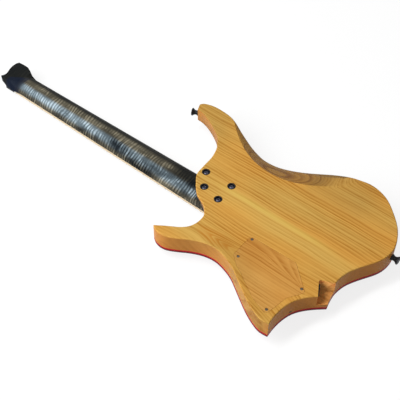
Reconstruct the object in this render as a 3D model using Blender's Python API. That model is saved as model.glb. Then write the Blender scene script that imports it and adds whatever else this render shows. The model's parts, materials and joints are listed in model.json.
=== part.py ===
"""Headless electric guitar, lying on its face with its back up.

Lengths are in metres. The model is drawn from the nut: X runs along the neck to the tail,
Y points to the bass side and Z to the back. Z is 0 on the face of the fingerboard.
Body places are measured along X from the line of the saddles.
"""
import math

import bmesh
import bpy
from mathutils import Vector

MM = 0.001

# Neck and fingerboard
SCALE_LENGTH = 647.7 * MM
FRET_COUNT = 24
FRET_HEIGHT = 1.1 * MM
FRET_WIDTH = 2.4 * MM
NUT_WIDTH = 43.0 * MM
LAST_FRET_WIDTH = 57.5 * MM
BOARD_THICKNESS = 6.0 * MM
BOARD_RADIUS = 406.0 * MM
BOARD_OVERHANG = 6.0 * MM
NECK_DEPTH_AT_NUT = 20.0 * MM
NECK_DEPTH_AT_BODY = 22.0 * MM
HEEL_DEPTH = 24.0 * MM
HEEL_PAST_BOARD = 10.5 * MM
HEEL_LENGTH = 72.0 * MM
HEEL_FLARE_LENGTH = 36.0 * MM
HEEL_SQUARE_LENGTH = 26.0 * MM
NECK_START = -4.0 * MM
NECK_STATIONS = 5
HEEL_STATIONS = 10
NECK_RING_STEPS = 18
ROUND_POWER = 2.2
SQUARE_POWER = 14.0
NUT_LENGTH = 5.0 * MM

# Head, as an outline on the back face and one on the front face, from the nut
HEAD_BACK_OUTLINE = [
    (-41.5, -17.5), (-38.5, -12.5), (-37.8, -6.5), (-39.6, -1.0), (-42.6, 6.3), (-44.6, 15.0),
    (-44.4, 24.0), (-41.7, 30.0), (-30.0, 31.0), (-18.0, 30.6), (-8.0, 26.5), (-3.5, 21.5),
    (-1.5, 16.5), (-0.5, 10.0), (-3.0, -1.0), (-18.8, -17.5), (-30.0, -18.0),
]
HEAD_FRONT_OUTLINE = [
    (-42.0, -17.0), (-38.7, -12.5), (-38.0, -6.5), (-39.8, -1.0), (-42.8, 6.3), (-44.8, 15.0),
    (-44.6, 24.0), (-41.9, 30.5), (-30.0, 31.6), (-17.0, 31.4), (-5.5, 27.8), (4.0, 24.3),
    (14.0, 22.4), (30.0, 21.0), (30.0, -20.0), (-7.6, -24.2), (-24.0, -22.6),
]
HEAD_BACK_DEPTH = 20.0 * MM

# Body
BODY_THICKNESS = 37.0 * MM
BOARD_ABOVE_BODY = 7.0 * MM
TOP_THICKNESS = 4.0 * MM
EDGE_ROUND = 2.0 * MM
BASS_SIDE = [
    (-329.5, 139), (-325.5, 144.5), (-316, 149), (-303, 151.5), (-288, 151.5), (-273, 150),
    (-258, 146), (-230, 132.5), (-212, 124.8), (-194, 118), (-175, 114.3), (-156, 112.8),
    (-136, 115.5), (-116, 122.5), (-94, 131.5), (-73, 141.4), (-51, 151), (-29, 158.5),
    (-8, 164), (12, 167.5), (32, 164.5), (52, 155.5), (72, 139), (92, 118), (104, 98),
    (111, 77), (110.5, 57), (105, 40), (94.5, 22), (85.5, 6), (78.5, -10), (75, -30), (76.5, -47), (80, -62),
]
TAIL_SIDE = [(80, -62), (66, -74.5), (53.5, -88), (44, -103), (38.8, -120.5), (37, -140), (38, -158)]
TREBLE_SIDE = [
    (38, -158), (24, -159), (12, -156), (-8, -147), (-28, -135), (-48, -122), (-68, -109.5),
    (-88, -102), (-108, -98.5), (-128, -101.5), (-148, -110), (-168, -122), (-183, -129.5),
    (-194, -131), (-204.5, -129), (-213.5, -123.5),
]
CUTAWAY_SIDE = [
    (-213.5, -123.5), (-200, -114), (-189, -107), (-178, -100), (-168, -90), (-163, -78), (-162, -65),
    (-164, -56), (-170, -48), (-178, -41), (-188, -36), (-198, -31), (-208, -22), (-218, -10),
    (-228, 5), (-230, 20), (-231, 35), (-232, 50), (-235, 62), (-239, 73), (-245, 82),
    (-253, 93), (-263, 101), (-278, 110), (-298, 120), (-312, 125), (-324.5, 127),
]
HORN_TIP_SIDE = [(-324.5, 127), (-329.5, 139)]
CURVE_STEPS = 3

# Carve for the player's ribs on the bass side of the back
BELLY_MIDDLE = -133.0 * MM
BELLY_CREASE_Y = 82.0 * MM
BELLY_CREASE_RISE = 63.0 * MM
BELLY_HALF_LENGTH = 125.0 * MM
BELLY_STEEPEST = -170.0 * MM
BELLY_FRONT_END = -318.0 * MM
BELLY_REAR_END = -6.0 * MM
BELLY_SLOPE = 0.66
BELLY_LEAST_SHARE = 0.03
BELLY_STATIONS = 54
BELLY_ROWS = (0.0, 0.07, 0.14, 0.22, 0.32, 0.45, 0.65, 1.0)
BELLY_SHORT_OF_HORN = 40.0 * MM
BELLY_INSIDE_CREASE = 20.0 * MM
BELLY_PAST_EDGE = 60.0 * MM

# Undercut beside the heel, where the front gives way to the hand on the high frets
UNDERCUT_CURVE = [
    (-226, 4), (-220, -5), (-211, -16), (-200.5, -26.5), (-188.5, -34), (-178, -40), (-170, -45.5),
    (-164, -53), (-190, -60), (-226, -40),
]
UNDERCUT_REACH = 12.0 * MM
UNDERCUT_SHORT_OF_BACK = 5.0 * MM

# Bevel along the inner edge of the upper horn, on the front
HORN_BEVEL_CENTRE = (-318, 35)
HORN_BEVEL_ALONG = CUTAWAY_SIDE[-4]
HORN_BEVEL_WIDTH = 23.0 * MM
HORN_BEVEL_DEPTH = 13.8 * MM
HORN_BEVEL_HEIGHT = 26.0 * MM

# Clearances, and how far a cutter runs past the face that it opens
SEAT_GAP = 0.3 * MM
RUN_GAP = 0.3 * MM
PAST_FACE = 1.0 * MM

# Neck bolts and their ferrules
BOLT_PLACES = [(-218, 17.5), (-200, -10), (-165.5, 19), (-165.5, -17)]
BOLT_RADIUS = 2.2 * MM
BOLT_HEAD_RADIUS = 4.6 * MM
BOLT_HEAD_HEIGHT = 2.8 * MM
BOLT_IN_NECK = 12.0 * MM
FERRULE_RADIUS = 7.0 * MM
FERRULE_HEIGHT = 6.0 * MM
FERRULE_CUP_DEPTH = 4.0 * MM

# Truss rod
ROD_WIDTH = 6.0 * MM
ROD_HEIGHT = 8.4 * MM
ROD_START = 22.0 * MM
WHEEL_RADIUS = 5.0 * MM
WHEEL_LENGTH = 6.0 * MM
WHEEL_PAST_BOARD = 1.0 * MM
WHEEL_ROOM = 1.0 * MM
WHEEL_SHAFT_RADIUS = 1.7 * MM
WHEEL_SHAFT_IN_ROD = 5.0 * MM
ROD_BEFORE_WHEEL = 2.0 * MM
ROD_BORE_PAST_SHAFT = 2.0 * MM

# Pickups
PICKUP_LENGTH = 88.0 * MM
PICKUP_WIDTH = 38.0 * MM
PICKUP_HEIGHT = 19.0 * MM
PICKUP_ABOVE_BODY = 5.5 * MM
PICKUP_CORNER = 4.0 * MM
NECK_PICKUP_PAST_HEEL = 4.4 * MM
BRIDGE_PICKUP_BEFORE_SADDLE = 35.0 * MM

# Control cavity and its cover on the back
COVER_OUTLINE = [
    (-78, -45), (7, -43), (49, -80), (32, -105), (28, -130), (24, -147), (-8, -136),
    (-48, -111), (-63, -103), (-78, -90),
]
CAVITY_OUTLINE = [
    (-66, -53), (0, -51), (18, -67), (36, -84), (22, -106), (18, -124), (-8, -124),
    (-45, -102), (-58, -96), (-66, -84),
]
COVER_SCREW_PLACES = [(-73, -48.5), (-70, -88.5), (41, -77), (21, -139.5)]
COVER_THICKNESS = 3.0 * MM
COVER_CORNER = 5.0 * MM
CAVITY_CORNER = 5.0 * MM
CAVITY_FLOOR = 8.0 * MM
SCREW_RADIUS = 1.25 * MM
SCREW_HEAD_RADIUS = 2.4 * MM
SCREW_HEAD_HEIGHT = 1.4 * MM
SCREW_LENGTH = 10.0 * MM

# Controls
VOLUME_PLACE = (-24, -72)
TONE_PLACE = (4, -90)
SWITCH_PLACE = (-50, -77)
POT_RADIUS = 8.0 * MM
POT_HEIGHT = 9.0 * MM
BUSHING_RADIUS = 4.6 * MM
BUSHING_PAST_FRONT = 2.3 * MM
SHAFT_RADIUS = 3.0 * MM
SHAFT_IN_POT = 5.0 * MM
KNOB_RADIUS = 9.0 * MM
KNOB_HEIGHT = 13.5 * MM
KNOB_CHAMFER = 0.6 * MM
KNOB_OFF_FRONT = 0.5 * MM
SWITCH_LENGTH = 18.0 * MM
SWITCH_WIDTH = 13.0 * MM
SWITCH_HEIGHT = 12.0 * MM
SWITCH_BUSHING_RADIUS = 5.8 * MM
SWITCH_BUSHING_IN_BODY = 1.0 * MM
SWITCH_BORE_PAST_PIVOT = 8.0 * MM
LEVER_BALL_RADIUS = 3.6 * MM
LEVER_TAIL_RADIUS = 1.1 * MM
LEVER_TAIL_LENGTH = 5.0 * MM
LEVER_RADIUS = 1.5 * MM
LEVER_TIP_RADIUS = 2.3 * MM
LEVER_END_RADIUS = 1.4 * MM
LEVER_TIP_LENGTH = 3.0 * MM
LEVER_TIP_TAPER = 2.0 * MM
LEVER_TIP_ROUND = 1.0 * MM
LEVER_PAST_FRONT = 13.0 * MM
LEVER_PIVOT_DEPTH = 6.0 * MM

# Output jack in its scoop at the tail
SCOOP_OUTLINE = [(53.4, -49.5), (53.6, -46.5), (56.5, -45.2), (110, -19), (110, -145)]
SCOOP_DEPTH = 23.5 * MM
JACK_PLACE = (58.2, -57.8)
JACK_DEPTH = 11.5 * MM
JACK_DIRECTION = (0.869, 0.495, 0.0)
JACK_RING_RADIUS = 9.7 * MM
JACK_RING_LENGTH = 7.0 * MM
JACK_BARREL_RADIUS = 5.2 * MM
JACK_BARREL_LENGTH = 16.0 * MM
JACK_SOCKET_RADIUS = 3.3 * MM
JACK_CUP_RADIUS = 6.0 * MM
JACK_CUP_DEPTH = 2.0 * MM
JACK_END_WALL = 2.0 * MM
JACK_PROUD = 2.4 * MM
JACK_BORE_LENGTH = 42.0 * MM
JACK_BORE_OUTSIDE = 8.0 * MM

# Strap buttons
HORN_BUTTON = (-327.0, 133.0, 27.5)
HORN_BUTTON_AXIS = (-0.923, -0.385, 0.0)
TAIL_BUTTON = (111.8, 71.0, 28.0)
TAIL_BUTTON_AXIS = (1.0, 0.0, 0.0)
BUTTON_PROFILE = [(0, 0), (5.6, 0), (5.6, 1.2), (4.0, 4.0), (4.2, 6.5), (7.2, 10.5), (6.6, 12.5), (0, 12.5)]

# Strings, from the treble side to the bass side
STRING_RADII = [0.127, 0.165, 0.216, 0.330, 0.457, 0.584]
NUT_SPREAD = 35.0 * MM
BRIDGE_SPREAD = 52.5 * MM
STRING_AT_NUT = 1.6 * MM
STRING_AT_BRIDGE = 3.5 * MM

# Clamp that holds the strings on the head
CLAMP_START = 9.0 * MM
CLAMP_LENGTH = 21.0 * MM
CLAMP_WIDTH = 39.0 * MM
CLAMP_CHAMFER = 5.0 * MM
CLAMP_ABOVE_BOARD = 8.5 * MM
CLAMP_HOLE_RADIUS = 1.4 * MM
CLAMP_BORE_OUTSIDE = 20.0 * MM
STRING_IN_CLAMP = 17.0 * MM

# Bridge and tuners
BRIDGE_WIDTH = 67.0 * MM
PLATE_START = -10.0 * MM
PLATE_THICKNESS = 3.7 * MM
BLOCK_START = 30.0 * MM
BLOCK_LENGTH = 24.0 * MM
CARRIAGE_AXIS_HEIGHT = 7.5 * MM
CARRIAGE_RADIUS = 2.9 * MM
CARRIAGE_START = 16.0 * MM
CARRIAGE_LENGTH = 32.0 * MM
CARRIAGE_STRING_BORE = 1.3 * MM
CARRIAGE_STRING_DEPTH = 12.0 * MM
CARRIAGE_SCREW_DEPTH = 12.0 * MM
TUNER_SCREW_RADIUS = 1.4 * MM
TUNER_SCREW_LENGTH = 14.0 * MM
TUNER_KNOB_RADIUS = 4.6 * MM
TUNER_KNOB_LENGTH = 12.5 * MM
SADDLE_WIDTH = 9.6 * MM
SADDLE_FRONT = 4.0 * MM
SADDLE_REAR = 8.0 * MM
SADDLE_CREST_HALF = 1.2 * MM
SADDLE_FRONT_DROP = 1.2 * MM
SADDLE_REAR_DROP = 3.5 * MM
STRING_PAST_SADDLE = 4.4 * MM
STRING_LEVELS_OUT = 12.5 * MM
STRING_IN_CARRIAGE = 8.0 * MM

# Levels that follow from the sizes above
BODY_FRONT = BOARD_ABOVE_BODY
BODY_BACK = BODY_FRONT + BODY_THICKNESS
NECK_FRONT = BOARD_THICKNESS + SEAT_GAP
FLOOR_LEVEL = -CLAMP_ABOVE_BOARD
CAVITY_LEVEL = BODY_FRONT + CAVITY_FLOOR
BLOCK_HEIGHT = BODY_FRONT - FLOOR_LEVEL


def fret_x(number):
    """Distance of a fret from the nut."""
    return SCALE_LENGTH * (1.0 - 2.0 ** (-number / 12.0))


BOARD_END = fret_x(FRET_COUNT) + BOARD_OVERHANG
HEEL_END = BOARD_END + HEEL_PAST_BOARD
HEEL_START = HEEL_END - HEEL_LENGTH
NECK_PICKUP_MIDDLE = HEEL_END + NECK_PICKUP_PAST_HEEL + PICKUP_WIDTH / 2
BRIDGE_PICKUP_MIDDLE = SCALE_LENGTH - BRIDGE_PICKUP_BEFORE_SADDLE


def half_width(x):
    """Half the width of the neck at a distance from the nut."""
    return 0.5 * (NUT_WIDTH + (LAST_FRET_WIDTH - NUT_WIDTH) * x / fret_x(FRET_COUNT))


def on_body(x_mm, y_mm):
    """A place on the body, from millimetres past the saddle line."""
    return (SCALE_LENGTH + x_mm * MM, y_mm * MM)


def mix(start, end, share):
    return start + (end - start) * share


# Materials


def material(name, colour, roughness, metallic=0.0):
    made = bpy.data.materials.new(name)
    made.use_nodes = True
    shader = made.node_tree.nodes["Principled BSDF"]
    shader.inputs["Base Color"].default_value = (*colour, 1.0)
    shader.inputs["Roughness"].default_value = roughness
    shader.inputs["Metallic"].default_value = metallic
    made.diffuse_color = (*colour, 1.0)
    return made


# Modelling tools


def place(name, mesh, parent, surface, smooth_angle=None):
    """An object for a mesh, under its parent."""
    made = bpy.data.objects.new(name, mesh)
    bpy.context.scene.collection.objects.link(made)
    made.parent = parent
    mesh.materials.append(surface)
    if smooth_angle is not None:
        mesh.shade_smooth()
        mesh.set_sharp_from_angle(angle=math.radians(smooth_angle))
    return made


def mesh_from_rings(name, rings):
    """A closed mesh through rings with the same number of points, with flat ends."""
    shape = bmesh.new()
    loops = [[shape.verts.new(point) for point in ring] for ring in rings]
    count = len(loops[0])
    for low, high in zip(loops, loops[1:]):
        for i in range(count):
            j = (i + 1) % count
            shape.faces.new((low[i], low[j], high[j], high[i]))
    shape.faces.new(list(reversed(loops[0])))
    shape.faces.new(loops[-1])
    bmesh.ops.recalc_face_normals(shape, faces=shape.faces)
    mesh = bpy.data.meshes.new(name)
    shape.to_mesh(mesh)
    shape.free()
    return mesh


def turned_mesh(name, profile, sides):
    """A closed mesh turned about Z; the profile starts and ends on the axis."""
    shape = bmesh.new()
    rings = []
    for radius, height in profile:
        if radius == 0:
            rings.append([shape.verts.new((0, 0, height))])
            continue
        angles = [2 * math.pi * i / sides for i in range(sides)]
        rings.append([shape.verts.new((radius * math.cos(a), radius * math.sin(a), height)) for a in angles])
    for low, high in zip(rings, rings[1:]):
        for i in range(sides):
            j = (i + 1) % sides
            corners = [low[i % len(low)], low[j % len(low)], high[j % len(high)], high[i % len(high)]]
            shape.faces.new(list(dict.fromkeys(corners)))
    bmesh.ops.recalc_face_normals(shape, faces=shape.faces)
    mesh = bpy.data.meshes.new(name)
    shape.to_mesh(mesh)
    shape.free()
    return mesh


def prism_mesh(name, outline, low, high):
    return mesh_from_rings(name, [[(x, y, low) for x, y in outline], [(x, y, high) for x, y in outline]])


def cylinder_mesh(name, radius, low, high, sides=24):
    return turned_mesh(name, [(0, low), (radius, low), (radius, high), (0, high)], sides)


def point_along(made, origin, direction):
    """Puts an object turned about Z at a place, with its axis along a direction."""
    made.location = origin
    made.rotation_euler = Vector(direction).to_track_quat("Z", "X").to_euler()


def curve_through(points, steps):
    """A smooth run of points through the given ones, without the last."""
    path = [Vector(p) for p in points]
    path = [2 * path[0] - path[1]] + path + [2 * path[-1] - path[-2]]
    run = []
    for p0, p1, p2, p3 in zip(path, path[1:], path[2:], path[3:]):
        leave = (p2 - p0) * (p2 - p1).length / ((p1 - p0).length + (p2 - p1).length)
        arrive = (p3 - p1) * (p2 - p1).length / ((p2 - p1).length + (p3 - p2).length)
        for i in range(steps):
            t = i / steps
            run.append(
                p1 * (2 * t**3 - 3 * t**2 + 1)
                + leave * (t**3 - 2 * t**2 + t)
                + p2 * (3 * t**2 - 2 * t**3)
                + arrive * (t**3 - t**2)
            )
    return run


def inset(outline, distance):
    """An outline moved inwards; it runs anticlockwise."""
    moved = []
    count = len(outline)
    for i in range(count):
        before = Vector(outline[i]) - Vector(outline[i - 1])
        after = Vector(outline[(i + 1) % count]) - Vector(outline[i])
        normal_before = Vector((-before.y, before.x)).normalized()
        normal_after = Vector((-after.y, after.x)).normalized()
        bisector = (normal_before + normal_after).normalized()
        moved.append(Vector(outline[i]) + bisector * distance / bisector.dot(normal_before))
    return moved


def rounded(outline, radius, steps=3):
    """A polygon with its corners rounded."""
    run = []
    count = len(outline)
    for i in range(count):
        corner = Vector(outline[i])
        to_last = (Vector(outline[i - 1]) - corner).normalized()
        to_next = (Vector(outline[(i + 1) % count]) - corner).normalized()
        half = 0.5 * to_last.angle(to_next)
        centre = corner + (to_last + to_next).normalized() * radius / math.sin(half)
        start = corner + to_last * radius / math.tan(half)
        end = corner + to_next * radius / math.tan(half)
        for k in range(steps + 1):
            chord = start.lerp(end, k / steps) - centre
            run.append(centre + chord.normalized() * radius)
    return run


def rectangle(x_low, x_high, y_low, y_high):
    return [(x_low, y_low), (x_high, y_low), (x_high, y_high), (x_low, y_high)]


def guide(name, mesh, parent):
    """A helper shape that cuts or joins another and isn't part of the guitar."""
    made = bpy.data.objects.new(name, mesh)
    bpy.context.scene.collection.objects.link(made)
    made.parent = parent
    made.hide_render = True
    made.display_type = "WIRE"
    return made


def combine(target, other, operation):
    step = target.modifiers.new(operation.lower() + "_" + other.name, "BOOLEAN")
    step.operation = operation
    step.solver = "EXACT"
    step.object = other


def cut(target, cutter):
    combine(target, cutter, "DIFFERENCE")


def remove_old_objects():
    for old in list(bpy.data.objects):
        bpy.data.objects.remove(old, do_unlink=True)


# Outlines


def body_outline():
    sides = [BASS_SIDE, TAIL_SIDE, TREBLE_SIDE, CUTAWAY_SIDE, HORN_TIP_SIDE]
    run = []
    for side in sides:
        steps = 1 if len(side) == 2 else CURVE_STEPS
        run += curve_through([on_body(x, y) for x, y in side], steps)
    return list(reversed(run))


def string_half_pitch(spread, index):
    """Distance of a string from the middle line, where the strings are spread so wide."""
    return mix(-spread / 2, spread / 2, index / (len(STRING_RADII) - 1))


def string_height(x, y):
    """Height of a string's underside over the face of the fingerboard's middle."""
    return mix(STRING_AT_NUT, STRING_AT_BRIDGE, x / SCALE_LENGTH) - y * y / (2 * BOARD_RADIUS)


# Body


def add_body(guitar, wood):
    outline = body_outline()
    low = BODY_FRONT + TOP_THICKNESS + SEAT_GAP
    rings = [[(x, y, low) for x, y in outline]]
    for degrees in (0, 30, 60, 90):
        angle = math.radians(degrees)
        level = BODY_BACK - EDGE_ROUND + EDGE_ROUND * math.sin(angle)
        ring = inset(outline, EDGE_ROUND * (1 - math.cos(angle)))
        rings.append([(x, y, level) for x, y in ring])
    body = place("body", mesh_from_rings("body", rings), guitar, wood, 40)
    return body


def add_body_top(guitar, paint):
    outline = body_outline()
    mesh = prism_mesh("body_top", outline, BODY_FRONT, BODY_FRONT + TOP_THICKNESS)
    return place("body_top", mesh, guitar, paint, 40)


def cut_belly(guitar, body):
    """The carve falls from a curved crease on the back to the edge of the bass side."""
    rings = []
    for i in range(BELLY_STATIONS + 1):
        x = mix(BELLY_FRONT_END + BELLY_SHORT_OF_HORN, BELLY_REAR_END, i / BELLY_STATIONS)
        crease = BELLY_CREASE_Y + BELLY_CREASE_RISE * ((x - BELLY_MIDDLE) / BELLY_HALF_LENGTH) ** 2
        end = BELLY_FRONT_END if x < BELLY_STEEPEST else BELLY_REAR_END
        slope = BELLY_SLOPE * max(BELLY_LEAST_SHARE, (x - end) / (BELLY_STEEPEST - end))
        inner = crease - BELLY_INSIDE_CREASE
        outer = BELLY_CREASE_Y + BELLY_CREASE_RISE + BELLY_PAST_EDGE
        high = BODY_BACK + BELLY_INSIDE_CREASE
        ring = [(SCALE_LENGTH + x, inner, BODY_BACK + slope * (crease - inner))]
        for row in BELLY_ROWS:
            out = row * (outer - crease)
            ring.append((SCALE_LENGTH + x, crease + out, BODY_BACK - slope * out))
        ring.append((SCALE_LENGTH + x, outer, high))
        ring.append((SCALE_LENGTH + x, inner, high))
        rings.append(ring)
    cut(body, guide("belly_cutter", mesh_from_rings("belly_cutter", rings), guitar))


def cut_horn_bevel(guitar, targets):
    """A cone takes the front corner off the inner edge of the upper horn."""
    centre = Vector(on_body(*HORN_BEVEL_CENTRE))
    radius = (Vector(on_body(*HORN_BEVEL_ALONG)) - centre).length + HORN_BEVEL_WIDTH
    slope = HORN_BEVEL_WIDTH / HORN_BEVEL_DEPTH
    wide = radius + slope * PAST_FACE
    narrow = radius - slope * HORN_BEVEL_HEIGHT
    profile = [(0, -PAST_FACE), (wide, -PAST_FACE), (narrow, HORN_BEVEL_HEIGHT), (0, HORN_BEVEL_HEIGHT)]
    cutter = guide("horn_bevel_cutter", turned_mesh("horn_bevel_cutter", profile, 72), guitar)
    cutter.location = (*centre, BODY_FRONT)
    for target in targets:
        cut(target, cutter)


def cut_heel_undercut(guitar, targets):
    """The wall beside the heel leans in towards the front, so the neck's side shows."""
    curve = [on_body(x, y) for x, y in reversed(UNDERCUT_CURVE)]
    levels = [(BODY_FRONT - PAST_FACE, UNDERCUT_REACH), (BODY_BACK - UNDERCUT_SHORT_OF_BACK, 0.0)]
    rings = [[(x + reach, y, level) for x, y in curve] for level, reach in levels]
    cutter = guide("undercut_cutter", mesh_from_rings("undercut_cutter", rings), guitar)
    for target in targets:
        cut(target, cutter)


def cut_neck_pocket(guitar, targets):
    """The pocket has the neck's own section, a little larger."""
    places = [x for x in neck_places() if x > HEEL_START - HEEL_FLARE_LENGTH]
    places[-1] += SEAT_GAP
    mesh = mesh_from_rings("pocket_cutter", [neck_ring(x, SEAT_GAP) for x in places])
    cutter = guide("pocket_cutter", mesh, guitar)
    for target in targets:
        cut(target, cutter)


def pickup_outline(middle, grow):
    half_x = PICKUP_WIDTH / 2 + grow
    half_y = PICKUP_LENGTH / 2 + grow
    return rounded(rectangle(middle - half_x, middle + half_x, -half_y, half_y), PICKUP_CORNER + grow, 2)


def add_pickup(guitar, name, middle, plastic, targets):
    low = BODY_FRONT - PICKUP_ABOVE_BODY
    high = low + PICKUP_HEIGHT
    pickup = place(name, prism_mesh(name, pickup_outline(middle, 0), low, high), guitar, plastic, 40)
    hole = pickup_outline(middle, SEAT_GAP)
    cutter_mesh = prism_mesh(name + "_cutter", hole, low - PAST_FACE, high + SEAT_GAP)
    cutter = guide(name + "_cutter", cutter_mesh, guitar)
    for target in targets:
        cut(target, cutter)
    return pickup


def add_control_cover(guitar, body, wood):
    """The cover lies in a recess on the back, over the cavity for the controls."""
    outline = rounded([on_body(x, y) for x, y in reversed(COVER_OUTLINE)], COVER_CORNER)
    low = BODY_BACK - COVER_THICKNESS
    cover = place("control_cover", prism_mesh("control_cover", outline, low, BODY_BACK), guitar, wood, 40)
    above = BODY_BACK + PAST_FACE
    recess_mesh = prism_mesh("recess_cutter", inset(outline, -SEAT_GAP), low - SEAT_GAP, above)
    cut(body, guide("recess_cutter", recess_mesh, guitar))
    cavity = rounded([on_body(x, y) for x, y in reversed(CAVITY_OUTLINE)], CAVITY_CORNER)
    cut(body, guide("cavity_cutter", prism_mesh("cavity_cutter", cavity, CAVITY_LEVEL, above), guitar))
    return cover


def add_cover_screws(guitar, body, cover, steel):
    under_head = BODY_BACK - SEAT_GAP - SCREW_HEAD_HEIGHT
    tip = under_head - SCREW_LENGTH
    profile = [
        (0, tip), (SCREW_RADIUS, tip + SCREW_RADIUS), (SCREW_RADIUS, under_head),
        (SCREW_HEAD_RADIUS, under_head), (SCREW_HEAD_RADIUS, BODY_BACK - SEAT_GAP), (0, BODY_BACK - SEAT_GAP),
    ]
    hole_radius = SCREW_RADIUS + SEAT_GAP
    head_hole = SCREW_HEAD_RADIUS + SEAT_GAP
    hole_profile = [
        (0, tip - SEAT_GAP), (hole_radius, tip - SEAT_GAP), (hole_radius, under_head - SEAT_GAP),
        (head_hole, under_head - SEAT_GAP), (head_hole, BODY_BACK + PAST_FACE), (0, BODY_BACK + PAST_FACE),
    ]
    screw_mesh = turned_mesh("cover_screw", profile, 10)
    hole_mesh = turned_mesh("cover_screw_cutter", hole_profile, 10)
    for number, (x, y) in enumerate(COVER_SCREW_PLACES, 1):
        screw = place("cover_screw_%d" % number, screw_mesh.copy(), guitar, steel, 40)
        cutter = guide("cover_screw_cutter_%d" % number, hole_mesh, guitar)
        screw.location = cutter.location = (*on_body(x, y), 0)
        cut(body, cutter)
        cut(cover, cutter)


# Neck


def ease(x, start, length):
    """A smooth rise from 0 at the start to 1 a length further on."""
    share = min(1.0, max(0.0, (x - start) / length))
    return share * share * (3 - 2 * share)


def neck_depth(x):
    plain = mix(NECK_DEPTH_AT_NUT, NECK_DEPTH_AT_BODY, min(1.0, max(0.0, x / HEEL_START)))
    return mix(plain, HEEL_DEPTH, ease(x, HEEL_START - HEEL_FLARE_LENGTH, HEEL_FLARE_LENGTH))


def neck_ring(x, grow=0.0):
    """A round-backed section that turns square in the pocket of the body."""
    power = mix(ROUND_POWER, SQUARE_POWER, ease(x, HEEL_START, HEEL_SQUARE_LENGTH))
    front = NECK_FRONT - grow
    rise = neck_depth(x) + grow - front
    ring = []
    for i in range(NECK_RING_STEPS + 1):
        angle = math.pi * i / NECK_RING_STEPS
        across = math.copysign(abs(math.cos(angle)) ** (2 / power), math.cos(angle))
        up = abs(math.sin(angle)) ** (2 / power)
        ring.append((x, (half_width(x) + grow) * across, front + rise * up))
    return ring


def neck_places():
    """Where the neck's sections stand: few along the neck, close together along the heel."""
    flare_start = HEEL_START - HEEL_FLARE_LENGTH
    places = [NECK_START] + [flare_start * i / NECK_STATIONS for i in range(NECK_STATIONS)]
    bend = HEEL_FLARE_LENGTH + HEEL_SQUARE_LENGTH
    places += [flare_start + bend * i / HEEL_STATIONS for i in range(HEEL_STATIONS + 1)]
    return places + [HEEL_END]


def head_mesh():
    back = [(x * MM, y * MM, HEAD_BACK_DEPTH) for x, y in HEAD_BACK_OUTLINE]
    front = [(x * MM, y * MM, NECK_FRONT) for x, y in HEAD_FRONT_OUTLINE]
    return mesh_from_rings("head_shape", [front, back])


def add_neck(guitar, wood):
    neck = place("neck", mesh_from_rings("neck", [neck_ring(x) for x in neck_places()]), guitar, wood, 40)
    combine(neck, guide("head_shape", head_mesh(), guitar), "UNION")
    return neck


def add_fingerboard(guitar, wood):
    """The board's rounded face carries the frets as ridges across its width."""
    stations = [(0.0, 0.0)]
    for number in range(1, FRET_COUNT + 1):
        x = fret_x(number)
        stations += [
            (x - FRET_WIDTH / 2, 0.0), (x - FRET_WIDTH / 4, FRET_HEIGHT),
            (x + FRET_WIDTH / 4, FRET_HEIGHT), (x + FRET_WIDTH / 2, 0.0),
        ]
    stations.append((BOARD_END, 0.0))
    rings = []
    for x, rise in stations:
        half = half_width(x)
        ring = [(x, half, BOARD_THICKNESS)]
        for share in (1.0, 0.5, 0.0, -0.5, -1.0):
            y = half * share
            ring.append((x, y, y * y / (2 * BOARD_RADIUS) - rise))
        ring.append((x, -half, BOARD_THICKNESS))
        rings.append(ring)
    return place("fingerboard", mesh_from_rings("fingerboard", rings), guitar, wood)


def add_nut(guitar, bone):
    half = half_width(0)
    rings = []
    for x in (-NUT_LENGTH - SEAT_GAP, -SEAT_GAP):
        ring = [(x, half, BOARD_THICKNESS)]
        for share in (1.0, 0.5, 0.0, -0.5, -1.0):
            y = half * share
            ring.append((x, y, -(string_height(-NUT_LENGTH, y) - SEAT_GAP)))
        ring.append((x, -half, BOARD_THICKNESS))
        rings.append(ring)
    return place("nut", mesh_from_rings("nut", rings), guitar, bone)


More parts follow.
